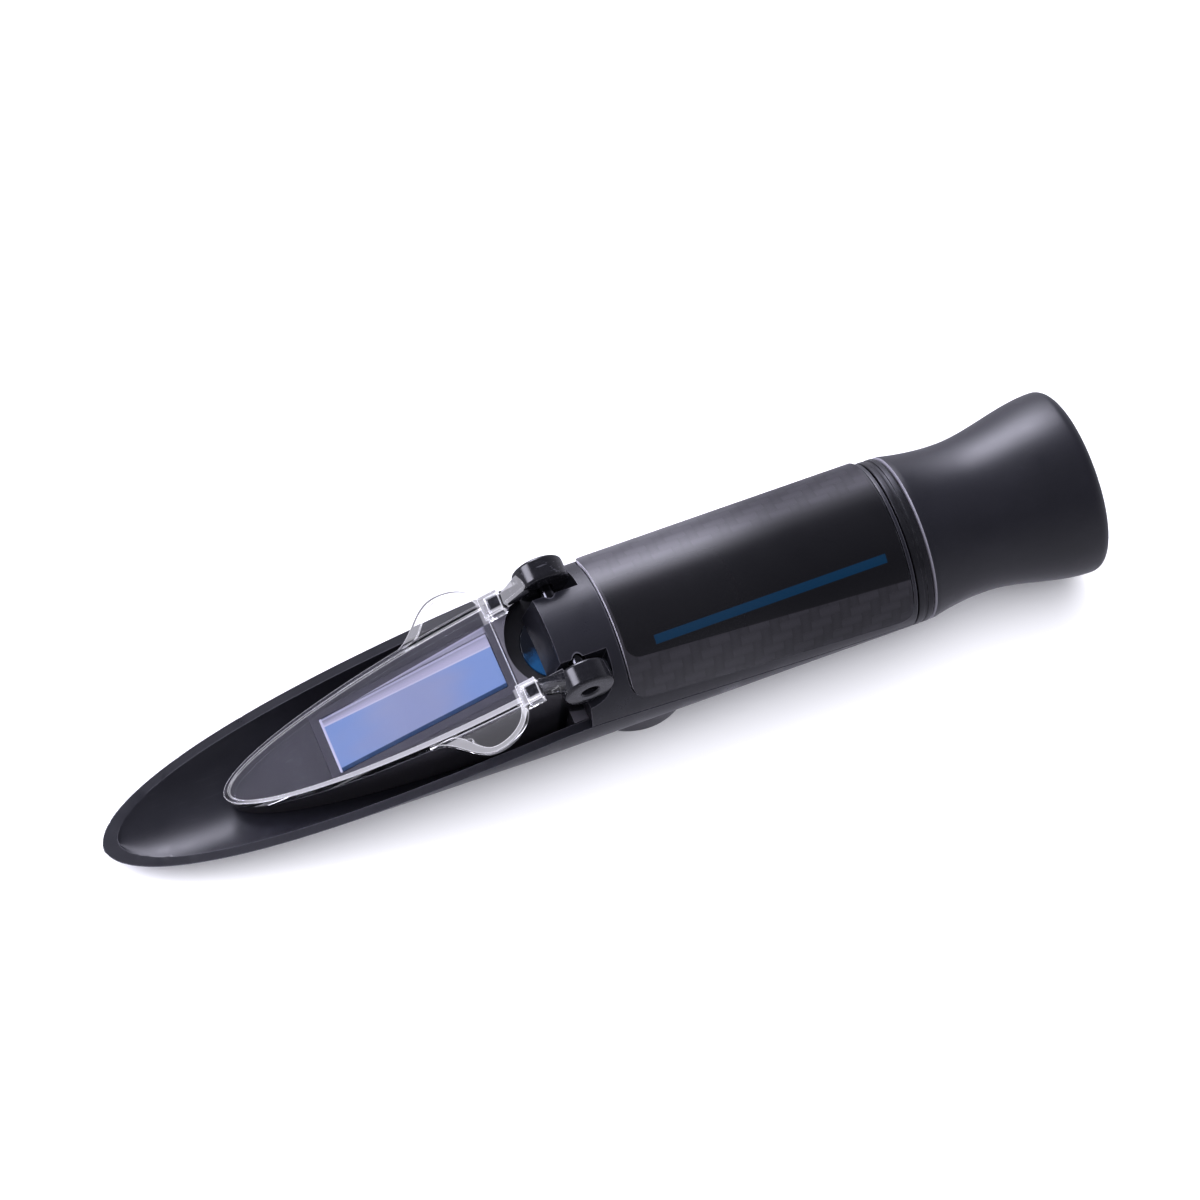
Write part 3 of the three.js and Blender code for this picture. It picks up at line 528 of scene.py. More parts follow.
def paintedGlow(tree, look):  # painted glow: clear plastic is made to glow at its rounded edges, flat tops and sockets, stronger on the near side
    upright = Vector((-math.sin(slope), 0, math.cos(slope)))
    glowFrom = spot(hingeStation, 0, hingeHeight).dot(upright) + look["glowFrom"] * mm
    along, across = [over(tree, value, mm) for value in list(apart(tree, objectPlace(tree)))[:2]]
    level = over(tree, minus(tree, dotted(tree, objectPlace(tree), upright), glowFrom), mm)
    out = sizeOf(tree, across)
    edge = placed(tree, edgeLine, Radius=look["edgeWidth"] * mm)["Mask"]
    edges = times(tree, edge, between(tree, level, *look["glowRise"]))
    rimTop = times(tree, between(tree, level, *look["rimLow"]), between(tree, across, *look["rimNear"]),
                   between(tree, level, *look["rimHigh"]), look["rimTop"])
    onEar = times(tree, between(tree, out, *look["earOut"]), between(tree, level, *look["earHigh"]))
    earTop = times(tree, onEar, between(tree, level, *look["earStep"], look["earFloor"], look["earTop"]))
    ahead = minus(tree, along, look["socketFront"])
    fromMiddle = sizeOf(tree, minus(tree, out, look["socketMiddle"]))
    hole = times(tree, between(tree, fromMiddle, *look["holeHalf"]), between(tree, ahead, *look["holeFront"]))
    socket = times(tree, between(tree, out, *look["socketOut"]), between(tree, ahead, *look["socketRise"]),
                   between(tree, hole, 1.0, 0.0, 0.0, look["socketLight"]))
    top = between(tree, dotted(tree, facing(tree), upright), *look["upward"])
    flats = times(tree, larger(tree, rimTop, earTop, socket), top)
    # painted highlight on flat faces towards the far side, and below, the glow made stronger on one side than the other
    flats = larger(tree, flats, between(tree, across, *look["farSide"], 0.0, look["farFlats"]))
    share = between(tree, across, *look["middle"], look["nearEdge"], look["farEdge"])
    return times(tree, larger(tree, edges, flats), share)


def glassMaterial(name, look):
    material, tree, sockets = newMaterial(
        name, IOR=look["ior"], Transmission_Weight=1.0, Metallic=0.0, **look.get("shader", {})
    )
    scratched = placed(tree, fineScratches, Amount=look["scratches"])
    smears = between(tree, speckle(tree, 3.5, objectPlace(tree), 4.0, 0.6), 0.45, 0.75, 0.0, look["smears"])
    give(tree, sockets["Roughness"], plus(tree, smears, look["roughness"], times(tree, scratched["Mask"], 0.2)))
    give(tree, sockets["Base Color"], mixed(tree, smears, look["colour"], look["smeared"]))
    bumped(tree, sockets, scratched["Height"], look["relief"])
    if "edgeLight" in look:
        # painted glow: emission, though the plastic is no lamp
        glow = paintedGlow(tree, look)
        give(tree, sockets["Emission Color"], mixed(tree, glow, rgb(0, 0, 0), look["edgeLight"]))
        sockets["Emission Strength"].default_value = 1.0
    letLampsThrough(tree, look["through"])
    return material


mouldedLook = {
    "colour": rgb(0.0072, 0.0072, 0.0102), "rubbed": rgb(0.0095, 0.0095, 0.013), "worn": rgb(0.045, 0.045, 0.057),
    "roughness": 0.38, "grain": 0.16, "drift": 0.1, "wearWidth": 0.25, "wear": 0.5, "scratches": 0.08,
    # the edge colour on the next line is a painted highlight along every rounded edge
    "relief": 0.012, "edgeHighlight": rgb(0.05, 0.049, 0.06), "shader": {"Specular IOR Level": 0.42},
}
boxLook = {
    # pit and under are painted shade: near black in the pit, and darker under the plate and on the walls
    "pitShadeFade": (0.12, -0.02), "underPlateShadeFade": 0.6, "upward": (0.8, 0.5),
    "pit": rgb(0.004, 0.004, 0.0055), "under": rgb(0.42, 0.42, 0.42),
    "colour": rgb(0.052, 0.049, 0.061), "rubbed": rgb(0.058, 0.055, 0.068), "worn": rgb(0.11, 0.11, 0.13),
    "roughness": 0.5, "grain": 0.14, "drift": 0.1, "wearWidth": 0.2, "wear": 0.5, "scratches": 0.15,
    "relief": 0.012,
}
armLook = {
    "colour": rgb(0.006, 0.006, 0.0075), "rubbed": rgb(0.01, 0.01, 0.013), "worn": rgb(0.05, 0.05, 0.06),
    "roughness": 0.14, "grain": 0.6, "drift": 0.08, "wearWidth": 0.2, "wear": 0.4, "scratches": 0.5,
    "relief": 0.004,
}
rubberLook = {
    "colour": rgb(0.0062, 0.0062, 0.0088), "rubbed": rgb(0.008, 0.008, 0.011), "worn": rgb(0.025, 0.025, 0.031),
    "roughness": 0.38, "grain": 0.12, "drift": 0.08, "wearWidth": 0.3, "wear": 0.35, "scratches": 0.1,
    # chamfer on the next line is a painted highlight colour for the front chamfer
    "relief": 0.01, "chamfer": rgb(0.15, 0.145, 0.17), "chamferReach": (0.8, 0.5),
    "chamferTurn": (-0.15, -0.4), "shader": {"Specular IOR Level": 0.45},
}
sealLook = {
    "colour": rgb(0.03, 0.028, 0.036), "rubbed": rgb(0.033, 0.031, 0.039), "worn": rgb(0.05, 0.05, 0.06),
    "roughness": 0.55, "grain": 0.1, "drift": 0.1, "wearWidth": 0.15, "wear": 0.3, "scratches": 0.0,
    "relief": 0.01,
}
anodisedLook = {
    "colour": rgb(0.011, 0.011, 0.0135), "tinted": rgb(0.015, 0.015, 0.018), "worn": rgb(0.2, 0.2, 0.22),
    "roughness": 0.34, "pitch": 0.1, "wearWidth": 0.2, "wear": 0.5, "relief": 0.006,
    "shader": {"Metallic": 0.6},
}
brassLook = {
    "colour": rgb(0.52, 0.36, 0.14), "tinted": rgb(0.4, 0.27, 0.1), "worn": rgb(0.66, 0.5, 0.25),
    "roughness": 0.28, "pitch": 0.12, "wearWidth": 0.2, "wear": 0.6, "relief": 0.006,
    "shader": {"Metallic": 1.0},
}
pinLook = {
    "colour": rgb(0.1, 0.1, 0.11), "tinted": rgb(0.07, 0.07, 0.08), "worn": rgb(0.2, 0.2, 0.22),
    "roughness": 0.16, "pitch": 0.08, "wearWidth": 0.15, "wear": 0.3, "relief": 0.002,
    "shader": {"Metallic": 1.0},
}
plateLook = {
    "colour": rgb(0.97, 0.975, 0.99), "smeared": rgb(0.9, 0.91, 0.95), "through": rgb(0.76, 0.76, 0.8),
    "ior": 1.49, "roughness": 0.01, "smears": 0.03, "scratches": 0.3, "relief": 0.004,
    # the light colour on the next line is a painted glow; nearEdge, farEdge and farFlats set how it differs from side
    # to side
    "edgeLight": rgb(0.75, 0.74, 0.83), "edgeWidth": 0.34, "nearEdge": 1.0, "farEdge": 0.8, "farFlats": 0.0,
    "rimTop": 0.6, "earTop": 0.5, "earFloor": 0.05, "socketLight": 0.4, "socketFront": -17.1, "socketMiddle": 8.1,
    # where each glow starts and is full, in mm
    "glowFrom": 1.9, "glowRise": (0, 0.3), "rimLow": (1.45, 1.55), "rimHigh": (1.75, 1.68), "rimNear": (-1.5, -4),
    "earOut": (9.15, 9.35), "earHigh": (0.9, 0.8), "earStep": (0.4, 0.6), "holeHalf": (1.2, 0.8),
    "holeFront": (0.7, 1.1), "socketOut": (5.9, 6.1), "socketRise": (-0.15, 0.15), "farSide": (0, 4),
    "middle": (-2, 2), "upward": (0.9, 0.97),
}
lensLook = {
    "colour": rgb(0.93, 0.96, 1.0), "smeared": rgb(0.85, 0.9, 0.97), "through": rgb(0.85, 0.9, 0.95),
    "ior": 1.52, "roughness": 0.0, "smears": 0.04, "scratches": 0.2, "relief": 0.001,
    "shader": {"Coat_Weight": 0.6, "Coat_Roughness": 0.02, "Coat_Tint": rgb(0.75, 0.85, 1.0)},
}
mouldedBlack = mouldedMaterial("moulded_black", mouldedLook)
armBlack = mouldedMaterial("gloss_arm", armLook)
sealRubber = mouldedMaterial("seal_rubber", sealLook)
anodised = turnedMaterial("anodised_black", anodisedLook)
brass = turnedMaterial("brass", brassLook)
darkSteel = turnedMaterial("steel_dark", pinLook)
clearPlastic = glassMaterial("clear_plate", plateLook)
# the clear arms: a painted highlight on the far arm's flat top, and little painted glow on the near side
clearArm = glassMaterial("clear_arm", {**plateLook, "edgeWidth": 0.2, "nearEdge": 0.12, "farFlats": 0.42})
lensGlass = glassMaterial("optical_glass", lensLook)

labelLook = {
    "radius": 14.35, "tow": 1.7, "weaveDark": rgb(0.013, 0.0125, 0.015), "weaveLight": rgb(0.021, 0.02, 0.0243),
    "band": rgb(0.004, 0.004, 0.005), "bandTop": -5.2, "bandFront": 85.2, "bandLow": 9.6, "bandLowRear": 12.2,
    # rim on the next line is a painted highlight colour for the dome's front edge
    "bandCorner": 2.2, "stripe": rgb(0.0015, 0.015, 0.036), "rim": rgb(0.6, 0.58, 0.66), "fadeTop": 1.5,
    # the lift at the start of the next line paints a sheen on the weave's far side
    "farSheenLift": 1.7, "stripeMiddle": 7.6, "stripeWidth": 1.5,
    "stripeFront": 90.2, "stripeRear": 130.2, "edge": 0.08, "shineFront": 98.0, "shineRear": 119.0,
    "towShade": 0.42, "crownShade": 0.4, "threadSize": 0.25, "threadShade": (-0.12, 0.14),
    "facingFront": (-0.12, -0.35), "rimHighlightFade": (12.0, 3.0, 0.25, 1.0), "farSheen": (1.0, 0.2),
    "coat": (0.85, 0.2), "patchSize": 4.0,
    "patchRoughness": (0.34, 0.46), "worn": rgb(0.12, 0.12, 0.14), "wearWidth": 0.25, "wear": 0.3, "scratches": 0.25,
    "relief": 0.008,
}


def labelMaterial():  # a printed film of twill weave, black band and blue stripe under a clear glossy dome, with a painted highlight on the dome's front edge and a painted sheen on the weave's far side
    look = labelLook
    material, tree, sockets = newMaterial(
        "label_gloss", Coat_Weight=1.0, Coat_Roughness=0.27, Coat_IOR=1.5, Specular_IOR_Level=0.06
    )
    place, station = barrelPlace(tree)
    upwards = minus(tree, place[2], instrument["restDrop"] * mm)
    towards = times(tree, place[1], -1.0)
    around = times(tree, calc(tree, "ARCTAN2", towards, upwards), look["radius"])
    # Twill: two tows over, two under, with the step running on by one in each row
    along = over(tree, station, look["tow"])
    across = over(tree, around, look["tow"])
    column = calc(tree, "FLOOR", along)
    row = calc(tree, "FLOOR", across)
    step = calc(tree, "FLOORED_MODULO", plus(tree, column, row), 4.0)
    lengthwise = calc(tree, "LESS_THAN", step, 1.5)
    alongPart = calc(tree, "FRACT", along)
    acrossPart = calc(tree, "FRACT", across)
    roundAlong = calc(tree, "SINE", times(tree, alongPart, math.pi))
    roundAcross = calc(tree, "SINE", times(tree, acrossPart, math.pi))
    crown = plus(tree, times(tree, lengthwise, roundAcross),
                 times(tree, minus(tree, 1.0, lengthwise), roundAlong))
    fibres = tree.nodes.new("ShaderNodeCombineXYZ")
    give(tree, fibres.inputs[0], times(tree, station, mm))
    give(tree, fibres.inputs[1], times(tree, around, mm))
    thread = speckle(tree, look["threadSize"], fibres.outputs[0], 2.0)
    shade = plus(tree, times(tree, lengthwise, look["towShade"]), times(tree, crown, look["crownShade"]))
    shade = plus(tree, shade, between(tree, thread, 0.3, 0.7, *look["threadShade"]), clamp=True)
    weave = mixed(tree, shade, look["weaveDark"], look["weaveLight"])
    # Black band: its lower edge drops a little towards the eyepiece, with a rounded front corner
    fall = (look["bandLowRear"] - look["bandLow"]) / (look["stripeRear"] - look["stripeFront"])
    low = plus(tree, times(tree, minus(tree, station, look["stripeFront"]), fall), look["bandLow"])
    corner = look["bandCorner"]
    aside = larger(tree, minus(tree, look["bandFront"] + corner, station), 0.0)
    under = larger(tree, minus(tree, around, minus(tree, low, corner)), 0.0)
    reach = calc(tree, "SQRT", plus(tree, times(tree, aside, aside), times(tree, under, under)))
    edge = look["edge"]
    inCorner = between(tree, reach, corner + edge, corner - edge)
    belowTop = between(tree, around, look["bandTop"] - look["fadeTop"], look["bandTop"] + look["fadeTop"])
    band = times(tree, inCorner, belowTop)
    half = look["stripeWidth"] / 2
    off = sizeOf(tree, minus(tree, around, look["stripeMiddle"]))
    inWidth = between(tree, off, half + edge, half - edge)
    fromFront = between(tree, station, look["stripeFront"] - edge, look["stripeFront"] + edge)
    toRear = between(tree, station, look["stripeRear"] + edge, look["stripeRear"] - edge)
    stripe = times(tree, inWidth, times(tree, fromFront, toRear))
    # painted sheen: the weave beyond the band's top is lifted lighter, fading towards the eyepiece
    farther = between(tree, around, look["bandTop"] + look["fadeTop"], look["bandTop"] - look["fadeTop"])
    farSheen = times(tree, farther, between(tree, station, look["shineFront"], look["shineRear"], *look["farSheen"]))
    weave = mixed(tree, farSheen, weave, mixed(tree, 1.0, weave, rgb(*[look["farSheenLift"]] * 3), "MULTIPLY"))
    printed = mixed(tree, stripe, mixed(tree, band, weave, look["band"]), look["stripe"])
    worn = placed(tree, edgeWearAndHighlight, Radius=look["wearWidth"] * mm, Amount=look["wear"])["Mask"]
    scratched = placed(tree, fineScratches, Amount=look["scratches"])
    printed = mixed(tree, worn, printed, look["worn"])
    frontwards = between(tree, apart(tree, facing(tree))[0], *look["facingFront"])
    rim = times(tree, frontwards, between(tree, around, *look["rimHighlightFade"]))  # painted highlight: the dome's front edge is painted pale
    give(tree, sockets["Base Color"], mixed(tree, rim, printed, look["rim"]))
    patches = speckle(tree, look["patchSize"], objectPlace(tree), 3.0)
    give(tree, sockets["Roughness"], between(tree, patches, 0.3, 0.7, *look["patchRoughness"]))
    give(tree, sockets["Coat Weight"], between(tree, station, look["shineFront"], look["shineRear"], *look["coat"]))
    height = plus(tree, times(tree, crown, minus(tree, 1.0, band)), scratched["Height"])
    bumped(tree, sockets, height, look["relief"])
    return material


prismLook = {
    # colours painted on the prism: reflection (blue, paleBlue, lavender, grey), highlight (line) and shadow
    "blue": rgb(0.15, 0.22, 0.385), "paleBlue": rgb(0.2, 0.228, 0.335), "lavender": rgb(0.34, 0.33, 0.4),
    "grey": rgb(0.19, 0.185, 0.225), "line": rgb(0.42, 0.415, 0.51), "shadow": rgb(0.012, 0.03, 0.07),
    "front": 39.2, "rear": 66.9, "lineFront": 3.45, "lineRear": 2.6, "lineWidth": 0.22, "nearEdge": -4.2,
    "wedgeFront": 4.7, "wedgeRear": 6.1, "endLine": -0.5, "farLine": 4.6,
    "spillStart": (4.0, 4.4), "spillEnd": (0.06, -0.06), "spillFront": (-0.01, 0.02), "spillRear": (1.0, 0.98),
    "spillLine": (-0.35, -0.15), "spillShine": 0.35,
    "sheenSize": 9.0, "sheenMiddle": 0.45, "sheenFall": 0.9, "sheenRange": (0.05, 0.5), "greyRange": (0.1, 0.75),
    "stripEdge": (-0.05, 0.1), "sideEdge": (-0.1, 0.1), "nearSoft": 0.1, "lineSoft": (0.08, 0.04),
    "endLineRange": (0.24, 0.12), "farLineRange": (0.2, 0.1, 0.0, 0.5), "smearSize": 3.0,
    "smearRoughness": (0.06, 0.2), "scratches": 0.2, "relief": 0.002,
}


def prismMaterial():  # polished glass whose colour is painted reflection of the sky: blue, with a pale far strip, a painted highlight line between, and painted shadow at the near edge and beyond the strip
    look = prismLook
    material, tree, sockets = newMaterial("prism_glass", Coat_Weight=1.0, Coat_Roughness=0.02, IOR=1.6)
    place, station = barrelPlace(tree)
    side = over(tree, place[1], mm)
    share = over(tree, minus(tree, station, look["front"]), look["rear"] - look["front"])
    lineSide = plus(tree, times(tree, share, look["lineRear"] - look["lineFront"]), look["lineFront"])
    fromLine = minus(tree, side, lineSide)
    # painted sheen: a paler streak through the middle of the blue
    bands = speckle(tree, look["sheenSize"], objectPlace(tree, (0.25, 1, 1)), 2.0)
    middle = sizeOf(tree, minus(tree, share, look["sheenMiddle"]))
    sheen = minus(tree, bands, times(tree, middle, look["sheenFall"]))
    blues = mixed(tree, between(tree, sheen, *look["sheenRange"]), look["blue"], look["paleBlue"])
    wedge = plus(tree, times(tree, share, look["wedgeRear"] - look["wedgeFront"]), look["wedgeFront"])
    greyer = between(tree, over(tree, fromLine, minus(tree, wedge, lineSide)), *look["greyRange"])
    strip = between(tree, fromLine, *look["stripEdge"])
    face = mixed(tree, strip, blues, mixed(tree, greyer, look["lavender"], look["grey"]))
    # painted shadow beyond the far strip and along the near edge
    face = mixed(tree, between(tree, minus(tree, side, wedge), *look["sideEdge"]), face, look["shadow"])
    near = between(tree, side, look["nearEdge"] + look["nearSoft"], look["nearEdge"] - look["nearSoft"])
    face = mixed(tree, near, face, look["shadow"])
    # painted highlight lines: between the strip and the face, along the front end and along the far edge
    half, (outside, inside) = look["lineWidth"] / 2, look["lineSoft"]
    line = between(tree, sizeOf(tree, fromLine), half + outside, half - inside)
    end = sizeOf(tree, minus(tree, station, look["front"] + look["endLine"]))
    line = larger(tree, line, between(tree, end, *look["endLineRange"]))
    far = sizeOf(tree, minus(tree, side, look["farLine"]))
    line = larger(tree, line, between(tree, far, *look["farLineRange"]))
    face = mixed(tree, line, face, look["line"])
    give(tree, sockets["Base Color"], face)
    smears = speckle(tree, look["smearSize"], objectPlace(tree), 3.0)
    give(tree, sockets["Roughness"], between(tree, smears, 0.3, 0.75, *look["smearRoughness"]))
    scratched = placed(tree, fineScratches, Amount=look["scratches"])
    bumped(tree, sockets, scratched["Height"], look["relief"])
    return material


labelGloss = labelMaterial()
prismGlass = prismMaterial()
print("materials made")


def deliver(piece, body, slot, material, *nodes):
    piece.data.materials.clear()
    piece.data.materials.append(material)
    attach(piece, body)
    if nodes:
        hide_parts(*nodes)
    return piece


# The scoop and the seam that runs back from it
scoop = {
    "length": 87, "fullness": 3, "tipFlat": 1.2, "noseRun": 24, "noseDepth": 0.5, "rimBand": 2.5,
    "rimTipDrop": 11.9, "rimPitch": 11.3, "seamRear": -3, "seamPitch": 5.7, "seamBlend": 2,
    "noseRings": 22, "bodyRings": 32, "sides": 128, "edge": 0.28, "rimRound": 0.5, "rimRoundEnd": 76.5,
    "rimWeld": 0.12, "rimDissolve": 0.05, "rimSharp": 40, "rimNear": 0.06, "rimSegments": 4,
    "seamSteps": 90, "cutReach": 3.4,
    "bossStation": 90, "bossRadius": 10.5, "bossEdge": 0.5, "recessRadius": 7.8, "recessTop": -13.1, "shaftHole": 2.3,
}


def seamHeight(station):
    rim = station * math.tan(math.radians(scoop["rimPitch"])) - scoop["rimTipDrop"]
    seam = scoop["seamRear"] + (barrelEnd - station) * math.tan(math.radians(scoop["seamPitch"]))
    return (rim + seam - math.hypot(rim - seam, scoop["seamBlend"])) / 2


def boatShare(share, fullness):  # half width of a boat-shaped plan at a share of its length
    return math.sqrt(1 - max(0.0, 1 - max(0.0, share)) ** fullness)


def drawnIn(station, radius, setback):  # how much narrower and shallower than round the scoop is at a station
    seam = seamHeight(station)
    chord = math.sqrt(radius ** 2 - min(seam, radius) ** 2)
    boat = radius * boatShare((station - setback) / (scoop["length"] - setback), scoop["fullness"])
    width = min(1.0, max(boat, scoop["tipFlat"] / 2) / chord)
    left = max(0.0, 1 - (station - setback) / scoop["noseRun"])
    return width, 1 - scoop["noseDepth"] * left ** 2, seam


def scoopLoft(name, radius, setback, end):  # a round face drawn out ring by ring and resized at each
    noseEnd = setback + scoop["noseRun"]
    stations = [setback + scoop["noseRun"] * (i / scoop["noseRings"]) ** 2 for i in range(scoop["noseRings"])]
    stations += [noseEnd + (end - noseEnd) * i / scoop["bodyRings"] for i in range(scoop["bodyRings"] + 1)]
    deselect()
    bpy.ops.mesh.primitive_circle_add(
        vertices=scoop["sides"], radius=radius * mm, fill_type="NGON", location=spot(setback),
        rotation=(0, math.pi / 2, 0),
    )
    piece = bpy.context.object
    piece.name = piece.data.name = name
    settle(piece)
    openUp(piece)
    last = stations[0]
    width, depth, pivot = drawnIn(last, radius, setback)
    bpy.ops.transform.resize(value=(1, width, depth), center_override=spot(last, 0, pivot))
    for station in stations[1:]:
        newWidth, newDepth, newPivot = drawnIn(station, radius, setback)
        drop = (newPivot - pivot) * (1 - newDepth)
        step = Vector((station - last, 0, drop)) * mm
        bpy.ops.mesh.extrude_region_move(TRANSFORM_OT_translate={"value": step})
        resized = (1, newWidth / width, newDepth / depth)
        bpy.ops.transform.resize(value=resized, center_override=spot(station, 0, pivot + drop))
        last, width, depth, pivot = station, newWidth, newDepth, newPivot
    closeUp()
    return piece


def besideSeam(name, offset, limit):  # all that lies above or below the seam
    steps = scoop["seamSteps"]
    stations = [-beyond + (barrelEnd + 2 * beyond) * i / steps for i in range(steps + 1)]
    line = [(s, seamHeight(s) + offset) for s in stations]
    corners = [(stations[-1], limit), (stations[0], limit)]
    return acrossBarrel(name, [*line, *corners], barrelRadius + scoop["cutReach"])


def softenRim(piece):  # a broader round along both edges of the open scoop's rim
    openUp(piece)
    bpy.ops.mesh.remove_doubles(threshold=scoop["rimWeld"] * mm)
    bpy.ops.mesh.dissolve_degenerate(threshold=scoop["rimDissolve"] * mm)
    bpy.ops.mesh.select_mode(type="EDGE")
    bpy.ops.mesh.select_all(action="DESELECT")
    bpy.ops.mesh.edges_select_sharp(sharpness=math.radians(scoop["rimSharp"]))
    bpy.ops.object.mode_set(mode="OBJECT")
    for edge in piece.data.edges:
        for end in (piece.data.vertices[v].co / mm for v in edge.vertices):
            station, height = end.x + instrument["middleStation"], end.z - instrument["restDrop"]
            if station > scoop["rimRoundEnd"] or abs(height - seamHeight(station)) > scoop["rimNear"]:
                edge.select = False
    bpy.ops.object.mode_set(mode="EDIT")
    bpy.ops.mesh.bevel(offset=scoop["rimRound"] * mm, segments=scoop["rimSegments"], affect="EDGES",
                       clamp_overlap=True)
    closeUp()


def lowerHousing():
    body = scoopLoft("lower_housing_moulding", barrelRadius, 0, barrelEnd)
    boss = turnedUpright("boss", rounded([
        (-instrument["restDrop"], 0, 0),
        (-instrument["restDrop"], scoop["bossRadius"], scoop["bossEdge"]),
        (-boreRadius / 2, scoop["bossRadius"], 0),
        (-boreRadius / 2, 0, 0),
    ]), scoop["bossStation"], 128)
    addOn(body, boss)
    carve(body, scoopLoft("hollow", boreRadius, scoop["rimBand"], barrelEnd + beyond))
    carve(body, besideSeam("above", 0, barrelRadius + beyond))
    low = -instrument["restDrop"] - beyond
    holes = {"recess": (scoop["recessTop"], scoop["recessRadius"]), "hole": (0, scoop["shaftHole"])}
    for name, (top, radius) in holes.items():
        carve(body, turnedUpright(name, plug(low, top, radius), scoop["bossStation"]))
    softenRim(body)
    soften(body, scoop["edge"], 3, 40, 0.05)
    return deliver(body, "barrel", "moulded_black", mouldedBlack, "lower_housing")


lowerHousing()
print("lower housing made")

# Label: the side view outline that it shares with its seat in the barrel cover
label = {
    "front": 84.7, "rear": 133.2, "corner": 3.2, "aboveSeam": 4, "outer": 14.35, "inner": 13.6, "seatRadius": 13.3,
    "edge": 0.42, "steps": 10, "lowSteps": 12, "cutReach": 2.6,
}


def labelOutline(margin):
    front, rear, corner = label["front"] - margin, label["rear"] + margin, label["corner"] + margin

    def low(station):
        return seamHeight(station) + label["aboveSeam"] - margin

    def turn(start, middle, end):
        shares = [i / label["steps"] for i in range(label["steps"] + 1)]
        return [[(1 - t) ** 2 * a + 2 * t * (1 - t) * b + t * t * c for a, b, c in zip(start, middle, end)]
                for t in shares]

    top = barrelRadius + beyond
    frontTurn = turn((front, low(front) + corner), (front, low(front)), (front + corner, low(front + corner)))
    rearTurn = turn((rear - corner, low(rear - corner)), (rear, low(rear)), (rear, low(rear) + corner))
    steps, run = label["lowSteps"], rear - front - 2 * corner
    lowEdge = [front + corner + run * i / steps for i in range(1, steps)]
    return [(front, top), *frontTurn, *[(s, low(s)) for s in lowEdge], *rearTurn, (rear, top)]


def labelBand(name, outer, inner, margin):
    front, rear = label["front"] - beyond, label["rear"] + beyond
    band = turned(name, [(front, inner), (front, outer), (rear, outer), (rear, inner), (front, inner)], 160)
    return combine(band, acrossBarrel("outline", labelOutline(margin), barrelRadius + label["cutReach"]), "INTERSECT")


def labelSleeve():
    sleeve = labelBand("label_dome", label["outer"], label["inner"], 0)
    soften(sleeve, label["edge"], 4)
    return deliver(sleeve, "barrel", "gloss_black", labelGloss, "label_sleeve")


labelSleeve()

# Barrel cover, with the bridge that stands between the two knuckles
cover = {
    "front": 74.6, "foot": 73.0, "brow": 12.4, "bridgeWidth": 11.7, "bridgeUnderside": 7.0, "boreFront": 83.8,
    "lightBore": 5.6, "roomRadius": 4.9, "pinHole": 1.5, "edge": 0.4, "cutPast": 1,
}


def knuckleRoom(side):  # the round space that a knuckle turns in
    inner, outer, radius = cover["bridgeWidth"] / 2, barrelRadius + beyond, cover["roomRadius"]
    return atHinge(turnedAcross("room", plug(side * inner, side * outer, radius), 96))


def barrelCover():
    body = rod("barrel_cover_moulding", cover["foot"] - gap, barrelEnd, barrelRadius, 160)
    wide = barrelRadius + beyond
    past = wide + cover["cutPast"]
    under, ahead = cover["bridgeUnderside"] - beyond, cover["foot"] - 2 * beyond
    lean = (cover["front"] - cover["foot"]) / (cover["brow"] - cover["bridgeUnderside"])
    slant = [(ahead, under), (cover["foot"] - beyond * lean, under), (cover["front"], cover["brow"]),
             (cover["front"], wide), (ahead, wide)]
    carve(
        body,
        rod("bore", cover["boreFront"], barrelEnd + beyond, boreRadius),
        rod("light", cover["foot"] - beyond, cover["boreFront"] + gap, cover["lightBore"]),
        block("under", spot(cover["foot"] - beyond, -past, -past),
              spot(hingeStation, past, cover["bridgeUnderside"])),
        acrossBarrel("slant", slant, wide),
        labelBand("seat", wide, label["seatRadius"], gap),
        besideSeam("below", gap, -wide),
    )
    for side in (-1, 1):
        inner = side * cover["bridgeWidth"] / 2
        near, far = sorted((inner, side * wide))
        radius = cover["roomRadius"]
        carve(
            body,
            knuckleRoom(side),
            block("ahead", spot(hingeStation - barrelRadius, near, -2 * wide),
                  spot(hingeStation, far, hingeHeight + barrelRadius)),
            block("over", spot(hingeStation - radius, near, hingeHeight),
                  spot(hingeStation + radius, far, hingeHeight + barrelRadius)),
        )
    carve(body, atHinge(turnedAcross("pinHole", plug(-wide, wide, cover["pinHole"]))))
    soften(body, cover["edge"], 3)
    return deliver(body, "barrel", "moulded_black", mouldedBlack, "barrel_cover")


barrelCover()
print("barrel cover and label made")

# Prism, its seal and the satin box that carries them in the scoop
prism = {
    "rear": 11.4, "length": 30.3, "width": 9.8, "bottomDrop": 6, "frontLean": 3.4, "top": 0.9, "edge": 0.15,
    "sealWidth": 0.9, "sealThickness": 0.8, "sealEdge": 0.05, "gasketShy": 0.03, "gasketHole": 0.05,
    "boxRear": 9.7, "boxLength": 50.5, "boxWidth": 18.2, "fullness": 1.8, "boxSteps": 48,
    "pitRadius": 10.2, "pitSetback": 1.1, "pitFloor": 6.7, "flange": 4.6, "boxEdge": 0.3,
}


def alongSlope(distance, height):  # station and height of a place in the plate's frame
    return (hingeStation - distance * math.cos(slope) - height * math.sin(slope),
            hingeHeight - distance * math.sin(slope) + height * math.cos(slope))


def prismSolid(name, margin, rise):
    rear = alongSlope(prism["rear"] - margin, prism["top"])
    front = alongSlope(prism["rear"] + prism["length"] + margin, prism["top"])
    bottom = -prism["bottomDrop"] - margin
    outline = [rear, (rear[0], bottom), (front[0] + prism["frontLean"], bottom), front]
    if rise:
        outline += [(front[0], front[1] + rise), (rear[0], rear[1] + rise)]
    return acrossBarrel(name, outline, prism["width"] / 2 + margin)


